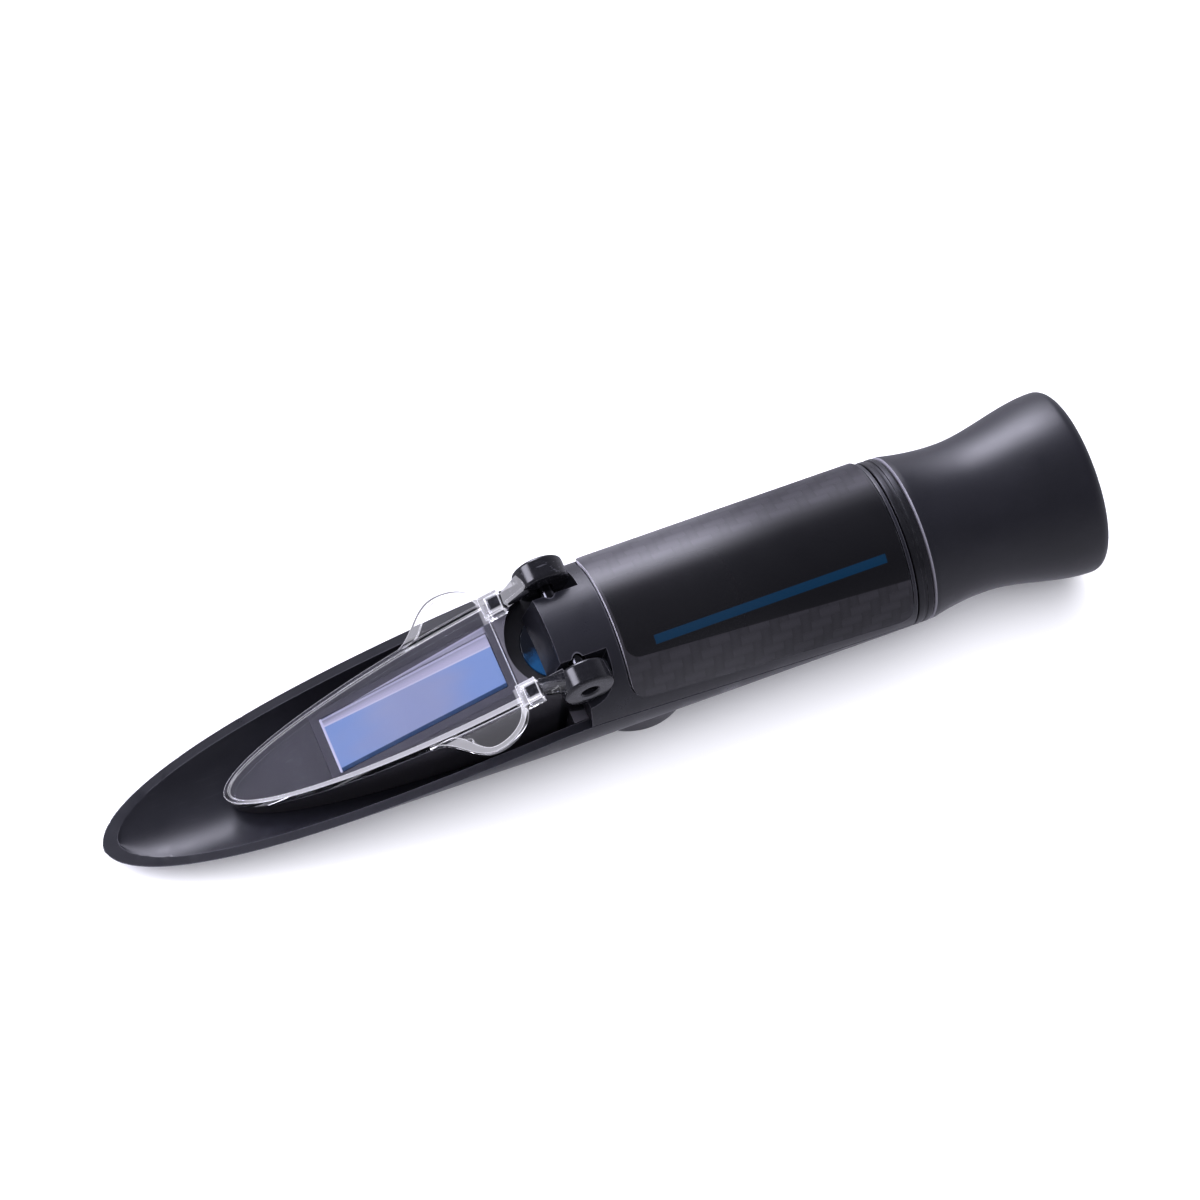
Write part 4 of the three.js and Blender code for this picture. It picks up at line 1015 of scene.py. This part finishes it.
def sealFrame(name, grow, thickness, lift):
    half = prism["width"] / 2 + grow
    low = flat(-prism["rear"] - prism["length"] - grow, -half, prism["top"] - thickness)
    return atHinge(block(name, low, flat(-prism["rear"] + grow, half, prism["top"] + lift)), slope)


def boatOutline(rear, length, halfWidth, inset, fullness, steps):
    side = []
    for i in range(steps + 1):
        share = (i / steps) ** 2
        place = rear - length + inset + (length - inset) * share
        side.append((place, (halfWidth - inset) * boatShare(share, fullness)))
    return [*[(place, -out) for place, out in reversed(side[1:])], *side]


def prismBox():
    rear = hingeStation - prism["boxRear"] * math.cos(slope)
    length = prism["boxLength"] * math.cos(slope)
    half, back = prism["boxWidth"] / 2, hingeStation - gap
    outline = boatOutline(rear, length, half, 0, prism["fullness"], prism["boxSteps"])
    tall = Vector((0, 0, 2 * barrelRadius)) * mm
    boat = extruded("prism_box_moulding", [spot(s, y, -barrelRadius) for s, y in outline], tall)
    addOn(boat, block("tail", spot(rear - gap, -half, -barrelRadius), spot(back, half, barrelRadius)))
    inside = scoopLoft("inside", boreRadius - gap, scoop["rimBand"] + gap, barrelEnd)
    wide = 2 * barrelRadius
    addOn(inside, block("openAbove", spot(-beyond, -wide, -scoop["rimTipDrop"] / 2), spot(back, wide, wide)))
    combine(boat, inside, "INTERSECT")
    long = instrument["overallLength"]
    high = block("aboveSlope", flat(-long, -wide, prism["top"]), flat(long, wide, long))
    carve(boat, atHinge(high, slope))
    flange = block("flange", spot(back - beyond, -wide, -wide), spot(back + prism["flange"], wide, wide))
    combine(flange, scoopLoft("inside", boreRadius - gap, scoop["rimBand"] + gap, barrelEnd), "INTERSECT")
    carve(flange, besideSeam("above", -gap, barrelRadius + beyond))
    addOn(boat, flange)
    pit = plug(prism["pitFloor"], wide, prism["pitRadius"])
    carve(
        boat,
        turnedUpright("pit", pit, hingeStation + prism["pitSetback"], 128),
        rod("light", hingeStation - prism["rear"], cover["boreFront"] + gap, cover["lightBore"]),
        prismSolid("pocket", gap, beyond),
        sealFrame("seat", prism["sealWidth"] + 2 * gap, prism["sealThickness"] + gap, beyond),
        *[knuckleRoom(side) for side in (-1, 1)],
    )
    soften(boat, prism["boxEdge"], 3)
    return deliver(boat, "barrel", "moulded_black", boxBlack, "prism_box")


def measuringPrism():
    body = soften(prismSolid("prism_block", 0, 0), prism["edge"], 2)
    return deliver(body, "barrel", "prism_glass", prismGlass, "measuring_prism")


def gasketMaterial():  # painted reflection: the pale wedge seen in the prism runs out over its far side, with a painted highlight line along its edge
    look = prismLook
    material, tree, sockets = reopened(mouldedMaterial("gasket_rubber", sealLook))
    place = apart(tree, objectPlace(tree, centre=spot(look["front"])))
    share = over(tree, over(tree, place[0], mm), look["rear"] - look["front"])
    side = over(tree, place[1], mm)
    wedge = plus(tree, times(tree, share, look["wedgeRear"] - look["wedgeFront"]), look["wedgeFront"])
    off = minus(tree, side, wedge)
    inside = times(tree, between(tree, off, *look["spillEnd"]), between(tree, side, *look["spillStart"]),
                   between(tree, share, *look["spillFront"]), between(tree, share, *look["spillRear"]))
    # painted highlight line along the wedge's edge
    edge = times(tree, inside, between(tree, off, *look["spillLine"], 0.0, look["spillShine"]))
    surface = mixed(tree, inside, sockets["Base Color"].links[0].from_socket, look["grey"])
    give(tree, sockets["Base Color"], mixed(tree, edge, surface, look["line"]))
    return material


def prismSeal():
    body = sealFrame("prism_gasket", prism["sealWidth"] + 2 * gap - prism["gasketShy"], prism["sealThickness"], 0)
    carve(body, sealFrame("hole", prism["gasketHole"], prism["sealThickness"] + beyond, beyond))
    soften(body, prism["sealEdge"], 2)
    return deliver(body, "barrel", "seal_rubber", gasketMaterial(), "prism_seal")


def boxMaterial():  # satin grey on top, with painted shade: darker under the plate and on its walls, and black down in the round pit
    material, tree, sockets = reopened(mouldedMaterial("box_satin", boxLook))
    place = tree.nodes.new("ShaderNodeVectorMath")
    place.operation = "LENGTH"
    centre = spot(hingeStation + prism["pitSetback"])
    tree.links.new(objectPlace(tree, (1, 1, 0), centre=centre), place.inputs[0])
    # painted shade: near black inside the round pit
    inside = between(tree, place.outputs["Value"], *[(prism["pitRadius"] + d) * mm for d in boxLook["pitShadeFade"]])
    behind = spot(hingeStation - prism["boxRear"]).x
    # painted shade: darker under the plate and on faces that do not face up
    under = larger(
        tree,
        between(tree, apart(tree, objectPlace(tree))[0], behind, behind - boxLook["underPlateShadeFade"] * mm),
        between(tree, apart(tree, facing(tree))[2], *boxLook["upward"]),
    )
    surface = sockets["Base Color"].links[0].from_socket
    surface = mixed(tree, under, surface, mixed(tree, 1.0, surface, boxLook["under"], "MULTIPLY"))
    give(tree, sockets["Base Color"], mixed(tree, inside, surface, boxLook["pit"]))
    return material


boxBlack = boxMaterial()
prismBox()
measuringPrism()
prismSeal()

# Dark blue window in the floor of the pit, which lets daylight down on to the back of the prism
window = {
    "station": 77, "radius": 6.2, "sunk": 0.3, "rise": 0.45, "edge": 0.3, "rim": 0.9, "crown": 0.25, "crownSteps": 8,
    # deep on the next line is painted shade for the window's far side
    "blue": rgb(0.006, 0.045, 0.12), "deep": rgb(0.002, 0.003, 0.006), "roughness": 0.05,
    "driftSize": 3.0, "drift": 0.8, "fade": (-2.4, 0.2), "scratches": 0.4, "scratched": 0.3, "relief": 0.003,
}


def windowMaterial():
    material, tree, sockets = newMaterial("window_blue", Coat_Weight=1.0, Coat_Roughness=0.02)
    sway = window["drift"] * mm
    drift = between(tree, speckle(tree, window["driftSize"], objectPlace(tree), 3.0), 0.3, 0.7, -sway, sway)
    place = apart(tree, objectPlace(tree))
    # painted shadow: the blue keeps to the near side and the far side is painted near black, where the bridge shades it
    farther = between(tree, plus(tree, place[1], drift), *[edge * mm for edge in window["fade"]])
    give(tree, sockets["Base Color"], mixed(tree, farther, window["blue"], window["deep"]))
    scratched = placed(tree, fineScratches, Amount=window["scratches"])
    rougher = times(tree, scratched["Mask"], window["scratched"])
    give(tree, sockets["Roughness"], plus(tree, rougher, window["roughness"]))
    bumped(tree, sockets, scratched["Height"], window["relief"])
    return material


def lightWindow():
    low, top = prism["pitFloor"] - window["sunk"], prism["pitFloor"] + window["rise"]
    radius, rim = window["radius"], window["radius"] - window["rim"]
    steps = window["crownSteps"]
    crown = [(top + window["crown"] * (1 - (i / steps) ** 2), rim * i / steps) for i in range(steps + 1)]
    profile = rounded([(low, 0, 0), (low, radius, 0), (top, radius, window["edge"])])
    points = [tuple(p) for p in profile] + [(h, r) for h, r in reversed(crown)]
    body = smooth(turnedUpright("light_window", points, window["station"]))
    return deliver(body, "barrel", "prism_glass", windowMaterial())


lightWindow()
print("prism and its box made")

# Clear daylight plate, drawn flat in its own frame and tilted on to the prism at the end
plate = {
    "rear": 9.7, "length": 50.5, "width": 18.2, "fullness": 1.8, "underside": 1.2, "thickness": 1.8,
    "rimWidth": 0.9, "rimHeight": 0.5, "steps": 56, "edge": 0.14, "shy": 0.03,
    "earLength": 17, "earReach": 5, "earCrest": 6.8, "earSwell": 0.45, "earRound": 0.5523, "earThickness": 1.4,
    "earRim": 0.8, "earSink": 0.35, "earTaper": 4, "earSteps": 18,
    "gateAlong": -20.5, "gateSide": -10.7, "gateRadius": 0.65, "gateRise": 0.15, "gateFoot": 0.5,
    "wingLap": 0.1,
    "socketLength": 3.4, "socketWidth": 3.8, "socketHeight": 2.5, "socketOverlap": 0.4, "socketCentre": 8.1,
    "tabWidth": 2.2, "tabThickness": 1.2, "tabLength": 2.4,
}
socketEnd = plate["socketLength"] - plate["socketOverlap"] - plate["rear"]
socketMiddle = plate["underside"] + plate["socketHeight"] / 2
tabEnd = socketEnd + gap - plate["tabLength"]


def aboutSocket(side, half):  # the least and the greatest side this far from the middle of a corner socket
    return sorted(side * (plate["socketCentre"] + d * half) for d in (-1, 1))


def curve(start, first, second, end, steps):  # a Bezier curve in the plate's plane
    points = []
    for i in range(1, steps + 1):
        t = i / steps
        shares = ((1 - t) ** 3, 3 * t * (1 - t) ** 2, 3 * t * t * (1 - t), t ** 3)
        points.append([sum(w * p[axis] for w, p in zip(shares, (start, first, second, end))) for axis in (0, 1)])
    return points


def wing(name, side, margin, low, high):  # outline of a finger ear, smaller all round by a margin
    root = side * (plate["width"] / 2 - plate["rimWidth"] / 2)
    crest = side * (plate["width"] / 2 + plate["earReach"] - margin)
    reaches = (plate["earLength"] - plate["earTaper"] * margin, plate["earCrest"], margin)
    front, middle, rear = [-plate["rear"] - plate["shy"] - reach for reach in reaches]
    swell, sweep = (middle - front) * plate["earSwell"], plate["earRound"]
    points = [(front, root)]
    points += curve((front, root), (front + swell, root), (middle - swell, crest), (middle, crest), plate["earSteps"])
    points += curve((middle, crest), (middle + (rear - middle) * sweep, crest),
                    (rear, crest + (root - crest) * (1 - sweep)), (rear, root), plate["earSteps"])
    return extruded(name, [flat(x, y, low) for x, y in points], flat(0, 0, high - low))


def ear(side):
    low, top = plate["underside"] + plate["shy"], plate["underside"] + plate["earThickness"]
    piece = wing("ear", side, 0, low, top)
    carve(piece, wing("sunk", side, plate["earRim"], top - plate["earSink"], top + beyond))
    return soften(piece, plate["edge"], 2, 40)


def daylightPlate():
    half, low, top = plate["width"] / 2, plate["underside"], plate["underside"] + plate["thickness"]
    high = top + plate["rimHeight"]

    def boat(name, inset, start, end, past=0):  # a cutter runs on past the plate's rear edge
        outline = boatOutline(-plate["rear"], plate["length"], half, inset, plate["fullness"], plate["steps"])
        if past:
            outline = [(outline[0][0] + past, outline[0][1]), *outline, (outline[-1][0] + past, outline[-1][1])]
        return extruded(name, [flat(x, y, start) for x, y in outline], flat(0, 0, end - start))

    body = boat("daylight_plate_clear", 0, low, high)
    soften(carve(body, boat("tray", plate["rimWidth"], top, top + beyond, beyond)), plate["edge"], 2, 40)
    gateTop = low + plate["earThickness"] - plate["earSink"] + plate["gateRise"]
    gate = plug(low + plate["gateFoot"], gateTop, plate["gateRadius"])
    points = [flat(plate["gateAlong"] + r, plate["gateSide"], h) for h, r in gate]
    nearEar = addOn(ear(-1), spun("gate", points, flat(plate["gateAlong"], plate["gateSide"]), (0, 0, 1), 32))
    for side, wingPiece in ((-1, nearEar), (1, ear(1))):
        keepClear = boat("keepClear", plate["rimWidth"] / 2 + plate["wingLap"], low - beyond, high + beyond, beyond)
        addOn(body, carve(wingPiece, keepClear))
        inner, outer = aboutSocket(side, plate["socketWidth"] / 2)
        socket = block("socket", flat(socketEnd - plate["socketLength"], inner, low + 2 * plate["shy"]),
                       flat(socketEnd, outer, low + plate["socketHeight"]))
        inner, outer = aboutSocket(side, plate["tabWidth"] / 2 + gap)
        rise = plate["tabThickness"] / 2 + gap
        hole = block("hole", flat(tabEnd - gap, inner, socketMiddle - rise),
                     flat(socketEnd + beyond, outer, socketMiddle + rise))
        addOn(body, carve(soften(socket, plate["edge"], 2), hole))
    atHinge(smooth(body), slope)
    return deliver(body, "daylight_lid", "clear_plate", clearPlastic, "daylight_plate")


daylightPlate()
print("daylight plate made")

# Hinge: a gloss black knuckle with its tab and a clear arm on each side, on dark steel pins
hinge = {
    "knuckleRadius": 4.3, "inner": 7.6, "outer": 11.5, "edge": 0.6, "bore": 1.4,
    "boreChamfer": 0.25, "chamferRound": 0.1, "armWidth": 2.4, "armLow": -1.05,
    "armInnerTop": 1.6, "armOuterTop": 0.7, "armEdge": 0.35, "armRoot": 0.6,
    "pinRadius": 1.2, "pinInner": 3.25, "pinOuter": 10.3, "pinEdge": 0.25,
}


def hingeArm(side, hand):
    bore, radius, edge = hinge["bore"], hinge["knuckleRadius"], hinge["edge"]
    inner, outer, chamfer = hinge["inner"], hinge["outer"], hinge["boreChamfer"]
    corners = [
        (inner, bore, 0.0), (inner, radius, edge), (outer, radius, edge),
        (outer, bore + chamfer, hinge["chamferRound"]), (outer - chamfer, bore, 0.0),
    ]
    points = rounded(corners)
    knuckle = turnedAcross(f"hinge_arm_{hand}_moulding", [(side * s, r) for s, r in [*points, points[0]]], 96)
    start, root = socketEnd + gap, -bore - hinge["armRoot"]
    innerSide, outerSide = [side * (plate["socketCentre"] + d * hinge["armWidth"] / 2) for d in (-1, 1)]
    section = [(innerSide, hinge["armLow"]), (innerSide, hinge["armInnerTop"]), (outerSide, hinge["armOuterTop"]),
               (outerSide, hinge["armLow"])]  # the arm's top falls away outwards
    points = [flat(start, y, socketMiddle + h) for y, h in section]
    arm = filled(f"plate_arm_{hand}_clear", points)
    bpy.ops.mesh.extrude_region_move(TRANSFORM_OT_translate={"value": flat(root - start)})
    spread = (outer - inner - 2 * gap) / hinge["armWidth"]  # wider where it meets the knuckle
    centre = (innerSide * spread - side * (inner + gap)) / (spread - 1)
    bpy.ops.transform.resize(value=(1, spread, 1), center_override=flat(root, centre))
    closeUp()
    atHinge(soften(arm, hinge["armEdge"], 3), slope)
    deliver(arm, "daylight_lid", "clear_plate", clearArm)
    rise = plate["tabThickness"] / 2
    low, high = aboutSocket(side, plate["tabWidth"] / 2)
    tab = block("tab", flat(tabEnd, low, socketMiddle - rise), flat(root, high, socketMiddle + rise))
    addOn(knuckle, soften(tab, hinge["armEdge"] / 2, 2))
    atHinge(smooth(knuckle), slope)
    return deliver(knuckle, "daylight_lid", "gloss_arm", armBlack, f"hinge_arm_{hand}")


def hingePin(side, hand):
    radius, edge = hinge["pinRadius"], hinge["pinEdge"]
    points = rounded([(hinge["pinInner"], 0, 0), (hinge["pinInner"], radius, edge),
                      (hinge["pinOuter"], radius, edge), (hinge["pinOuter"], 0, 0)])
    pin = atHinge(turnedAcross(f"hinge_pin_{hand}_steel", [(side * s, r) for s, r in points], 48))
    return deliver(smooth(pin), "barrel", "steel", darkSteel, f"hinge_pin_{hand}")


for side, hand in ((-1, "near"), (1, "far")):
    hingeArm(side, hand)
    hingePin(side, hand)
print("hinge made")

# Ring, eyecup and eyepiece, all turned round the barrel's axis
eyepiece = {
    "ringStart": 134.4, "ringLength": 2.6, "tubeInner": 10.6, "sealSeat": 11.75, "sealDepth": 1.15,
    "grooveWidth": 0.6, "grooveDepth": 0.2, "ringEdge": 0.25,
    "start": 137.3, "neckRadius": 12.7, "neckRun": 10.5, "cupRadius": 15.5, "mouthFillet": 2.0, "mouthLip": 0.7,
    "mouthDepth": 14, "shoulder": 1, "sleeveRadius": 11, "sleeveNose": 11, "sleeveBore": 9.3, "fitted": 10.3,
    "carrierLength": 23, "carrierSetback": 3.2, "carrierWall": 1, "carrierLip": 0.8, "edge": 0.2,
    "lensEdge": 1.6, "lensCrown": 1.9, "lensLand": 1.1, "lensSpacing": 12, "lensRingWidth": 0.8,
    "lensRingLength": 2, "curveSteps": 28, "frontRound": 0.5, "frontSteps": 4, "frontShy": 0.02, "filletSteps": 8,
    "lipSteps": 6, "mouthSteps": 12, "grooveRim": 0.12, "grooveFoot": 0.1, "lensSteps": 16,
}
overallLength = instrument["overallLength"]
sleeveEnd = overallLength - eyepiece["mouthDepth"]
carrierFront = sleeveEnd - eyepiece["carrierSetback"] - eyepiece["carrierLength"]
carrierOuter = eyepiece["sleeveBore"] - gap
carrierInner = carrierOuter - eyepiece["carrierWall"]
lensRadius = carrierInner - gap


def rearRing():
    start, end = eyepiece["ringStart"], eyepiece["ringStart"] + eyepiece["ringLength"]
    groove = start + (eyepiece["ringLength"] - eyepiece["grooveWidth"]) / 2
    deep, edge = barrelRadius - eyepiece["grooveDepth"], eyepiece["ringEdge"]
    rim, foot = eyepiece["grooveRim"], eyepiece["grooveFoot"]
    grooveEnd, seatStart = groove + eyepiece["grooveWidth"], end - eyepiece["sealDepth"]
    ring = ringOf("rear_ring_turned", [
        (start, eyepiece["tubeInner"], 0), (start, barrelRadius, edge), (groove, barrelRadius, rim),
        (groove, deep, foot), (grooveEnd, deep, foot), (grooveEnd, barrelRadius, rim), (end, barrelRadius, edge),
        (end, eyepiece["sealSeat"], 0), (seatStart, eyepiece["sealSeat"], 0), (seatStart, eyepiece["tubeInner"], 0),
    ])
    return deliver(smooth(ring), "barrel", "anodised_black", anodised, "rear_ring")


def cupMaterial():  # soft rubber, with a painted highlight line round the front chamfer
    material, tree, sockets = reopened(mouldedMaterial("cup_rubber", rubberLook))
    front = spot(eyepiece["start"]).x
    lineEnds = [front + reach * mm for reach in rubberLook["chamferReach"]]
    # painted highlight on the front chamfer, on faces turned towards the front
    line = times(tree, between(tree, apart(tree, objectPlace(tree))[0], *lineEnds),
                 between(tree, apart(tree, facing(tree))[0], *rubberLook["chamferTurn"]))
    surface = sockets["Base Color"].links[0].from_socket
    give(tree, sockets["Base Color"], mixed(tree, line, surface, rubberLook["chamfer"]))
    return material


def eyecup():
    steps = eyepiece["curveSteps"]
    neck, cup, start = eyepiece["neckRadius"], eyepiece["cupRadius"], eyepiece["start"]
    fillet, lip = eyepiece["mouthFillet"], eyepiece["mouthLip"]
    neckEnd, flareEnd = start + eyepiece["neckRun"], overallLength - fillet
    edge, steep = eyepiece["frontRound"], eyepiece["frontSteps"]  # the small round that meets the ring
    profile = [(start + edge * (1 - math.sin(a)), barrelRadius - edge * (1 - math.cos(a)) - eyepiece["frontShy"])
               for a in [math.pi / 2 * (1 - i / steep) for i in range(steep)]]
    for i in range(1, steps):
        t = i / steps
        profile.append((start + edge + (eyepiece["neckRun"] - edge) * t, neck + (barrelRadius - neck) * (1 - t) ** 2))
    for i in range(steps):
        t = i / steps
        profile.append((neckEnd + (flareEnd - neckEnd) * t, neck + (cup - neck) * (3 * t ** 2 - 2 * t ** 3)))
    for i in range(eyepiece["filletSteps"]):
        turn = i / eyepiece["filletSteps"] * math.pi / 2
        profile.append((flareEnd + fillet * math.sin(turn), cup - fillet * (1 - math.cos(turn))))
    for i in range(eyepiece["lipSteps"]):
        turn = i / eyepiece["lipSteps"] * math.pi / 2
        profile.append((overallLength - lip * (1 - math.cos(turn)), cup - fillet - lip * math.sin(turn)))
    seat, floor, mouth = eyepiece["sleeveRadius"] + gap, sleeveEnd + gap + eyepiece["shoulder"], cup - fillet - lip
    for i in range(eyepiece["mouthSteps"]):
        t = i / eyepiece["mouthSteps"]
        profile.append((overallLength - lip + (floor - overallLength + lip) * t, mouth + (seat - mouth) * t ** 2))
    bore = eyepiece["sleeveBore"]
    profile += [(floor, seat), (floor, bore), (floor - eyepiece["shoulder"], bore),
                (floor - eyepiece["shoulder"], seat), (start, seat), profile[0]]
    body = turned("eyecup_rubber", profile, 144)
    return deliver(smooth(body), "eyecup_body", "soft_rubber", cupMaterial(), "eyecup")


def focusSleeve():
    bore, fitted, outer, edge = eyepiece["sleeveBore"], eyepiece["fitted"], eyepiece["sleeveRadius"], eyepiece["edge"]
    nose, start = eyepiece["start"] - eyepiece["sleeveNose"], eyepiece["start"]
    body = ringOf("focus_sleeve_turned", [
        (nose, bore, edge), (nose, fitted, edge), (start, fitted, 0), (start, outer, edge),
        (sleeveEnd, outer, edge), (sleeveEnd, bore, edge),
    ], 96)
    return deliver(smooth(body), "eyecup_body", "anodised_black", anodised, "focus_sleeve")


def lensCarrier():
    rear, lip, edge = carrierFront + eyepiece["carrierLength"], carrierInner - eyepiece["carrierLip"], eyepiece["edge"]
    body = ringOf("lens_carrier_turned", [
        (carrierFront, lip, 0), (carrierFront, carrierOuter, edge), (rear, carrierOuter, edge),
        (rear, carrierInner, edge), (carrierFront + eyepiece["carrierLip"], carrierInner, 0),
        (carrierFront + eyepiece["carrierLip"], lip, 0),
    ], 96)
    return deliver(smooth(body), "eyepiece_lenses", "anodised_black", anodised, "lens_carrier")


def crowned(name, rear, radius, edge, land, frontCrown, rearCrown):
    steps = eyepiece["lensSteps"]
    aperture, shares = radius - land, [i / steps for i in range(steps + 1)]
    front = [(rear - edge - frontCrown * (1 - s * s), aperture * s) for s in shares]
    back = [(rear + rearCrown * (1 - s * s), aperture * s) for s in reversed(shares)]
    return smooth(turned(name, [*front, (rear - edge, radius), (rear, radius), *back], 96))


def eyepieceGlass():
    edge, crown = eyepiece["lensEdge"], eyepiece["lensCrown"]
    fieldRear = carrierFront + eyepiece["carrierLip"] + gap + edge
    eyeRear = fieldRear + eyepiece["lensSpacing"] + edge + 2 * gap
    eye = crowned("eye_lens_glass", eyeRear, lensRadius, edge, eyepiece["lensLand"], crown, crown / 2)
    field = crowned("field_lens_glass", fieldRear, lensRadius, edge, eyepiece["lensLand"], 0, crown)
    deliver(eye, "eyepiece_lenses", "optical_glass", lensGlass, "eye_lens")
    deliver(field, "eyepiece_lenses", "optical_glass", lensGlass, "field_lens")
    front, rear = eyeRear + gap, eyeRear + gap + eyepiece["lensRingLength"]
    inner, edge = lensRadius - eyepiece["lensRingWidth"], eyepiece["edge"]
    ring = ringOf("lens_retainer_turned", [(front, inner, 0), (front, lensRadius, 0), (rear, lensRadius, edge),
                                           (rear, inner, edge)], 96)
    deliver(smooth(ring), "eyepiece_lenses", "anodised_black", anodised, "lens_retainer")


rearRing()
eyecup()
focusSleeve()
lensCarrier()
eyepieceGlass()
print("ring, eyecup and eyepiece made")

# Adjusting screw in the boss: a coin slot, and a stud that works in the lens cell's foot
screw = {
    "face": -15.2, "back": -14.1, "radius": 7.5, "shaft": 2.0, "shaftTop": -10.9, "stud": 1.25, "studTop": -8.3,
    "slotLength": 10, "slotWidth": 1.4, "slotDepth": 0.6, "edge": 0.25,
    "shaftEdge": 0.2, "slotEdge": 0.08, "slotSharp": 50,
}


def adjustingScrew():
    face, back = screw["face"], screw["back"]
    body = turnedUpright("adjusting_screw_moulding", rounded([
        (face, 0, 0), (face, screw["radius"], screw["edge"]), (back, screw["radius"], screw["edge"]),
        (back, screw["shaft"], 0), (screw["shaftTop"], screw["shaft"], screw["shaftEdge"]),
        (screw["shaftTop"], screw["stud"], 0), (screw["studTop"], screw["stud"], screw["shaftEdge"]),
        (screw["studTop"], 0, 0),
    ]), scoop["bossStation"])
    long, wide = screw["slotLength"] / 2, screw["slotWidth"] / 2
    station = scoop["bossStation"]
    carve(body, block("slot", spot(station - long, -wide, face - beyond),
                      spot(station + long, wide, face + screw["slotDepth"])))
    soften(body, screw["slotEdge"], 2, screw["slotSharp"])
    return deliver(body, "scale_adjuster", "moulded_black", mouldedBlack, "adjusting_screw")


adjustingScrew()
print("adjusting screw made")

# CAD nodes inside the barrel keep their shape and get finished materials
carriedOver = {
    "optical_tube": anodised, "objective_cell": anodised, "objective_lens": lensGlass, "objective_retainer": brass,
    "bimetal_strip": brass, "aperture_stop": anodised, "scale_holder": anodised, "scale_disc": lensGlass,
    "scale_retainer": brass, "adjuster_seal": sealRubber, "eyepiece_seal": sealRubber, "lens_spacer": anodised,
}
for node, material in carriedOver.items():
    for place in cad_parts[node].material_slots:
        place.material = material
print("inner parts finished")

# Studio: pale floor, soft lights and the camera
studio = {
    "floorSize": 6.0, "floorColour": rgb(0.93, 0.93, 0.93), "floorRoughness": 0.9, "floorDrift": 60.0,
    "floorShade": 0.985, "groundEdge": (-0.1, 0.05), "sensor": 36, "clipStart": 0.01,
    "air": rgb(0.94, 0.93, 1.1), "below": 0.58, "zenith": 0.09, "horizon": 0.42, "horizonLow": 0.1, "horizonHigh": 0.75,
    "lens": 150, "cameraPlace": (-0.16436, -0.29025, 0.74303), "aim": (0.00298, 0.00625, 0.01806), "roll": 7.74,
}
ceiling = {"place": (0, 0, 1.7), "size": 2.6, "power": 76, "colour": (0.97, 0.97, 1.03)}
glows = {  # soft lights round the horizon: azimuth, elevation, and where each starts to fade and is gone, in degrees
    "farHeart": (94, 26, 2, 18, 14), "farSoft": (90, 27, 13, 27, 3.5), "noseSide": (150, 31, 6, 19, 9),
    "farLow": (80, 6, 5, 20, 1.8),
}


def floorMaterial():
    material, tree, sockets = newMaterial("studio_floor", Roughness=studio["floorRoughness"])
    drift = between(tree, speckle(tree, studio["floorDrift"], objectPlace(tree), 2.0), 0.3, 0.7)
    colour = studio["floorColour"]
    shaded = rgb(*[c * studio["floorShade"] for c in colour[:3]])
    give(tree, sockets["Base Color"], mixed(tree, drift, colour, shaded))
    return material


def skyWorld():
    world = bpy.data.worlds.new("studio")
    world.use_nodes = True
    tree = world.node_tree
    way = tree.nodes.new("ShaderNodeTexCoord").outputs["Generated"]
    upwards = apart(tree, way)[2]
    light = between(tree, upwards, studio["horizonHigh"], studio["horizonLow"], studio["zenith"], studio["horizon"])
    above = between(tree, upwards, *studio["groundEdge"])
    light = plus(tree, studio["below"], times(tree, above, minus(tree, light, studio["below"])))
    for azimuth, elevation, full, gone, strength in glows.values():
        azimuth, elevation = math.radians(azimuth), math.radians(elevation)
        middle = (math.cos(elevation) * math.cos(azimuth), math.cos(elevation) * math.sin(azimuth),
                  math.sin(elevation))
        low, high = math.cos(math.radians(gone)), math.cos(math.radians(full))
        light = plus(tree, light, between(tree, dotted(tree, way, middle), low, high, 0.0, strength))
    background = tree.nodes["Background"]
    background.inputs["Color"].default_value = studio["air"]
    tree.links.new(light, background.inputs["Strength"])
    return world


def makeStudio():
    deselect()
    bpy.ops.mesh.primitive_plane_add(size=studio["floorSize"], location=(0, 0, 0))
    floor = bpy.context.object
    floor.name = "floor"
    floor.data.materials.append(floorMaterial())
    floor.visible_glossy = False  # gloss sees the studio below instead of a white floor
    bpy.ops.object.light_add(type="AREA", location=ceiling["place"])
    lamp = bpy.context.object
    lamp.name = "ceiling"
    lamp.data.size = ceiling["size"]
    lamp.data.energy = ceiling["power"]
    lamp.data.color = ceiling["colour"]
    lamp.visible_glossy = False  # it lights the floor, and leaves the black parts black
    lamp.visible_transmission = False
    bpy.context.scene.world = skyWorld()
    bpy.context.scene.view_settings.view_transform = "Standard"
    place, aim = Vector(studio["cameraPlace"]), Vector(studio["aim"])
    bpy.ops.object.camera_add(location=place)
    camera = bpy.context.object
    camera.data.lens = studio["lens"]
    camera.data.sensor_width = studio["sensor"]
    camera.data.clip_start = studio["clipStart"]
    turn = (aim - place).to_track_quat("-Z", "Y") @ Quaternion((0, 0, 1), math.radians(studio["roll"]))
    camera.rotation_euler = turn.to_euler()
    bpy.context.scene.camera = camera


makeStudio()
print("studio made")

deselect()
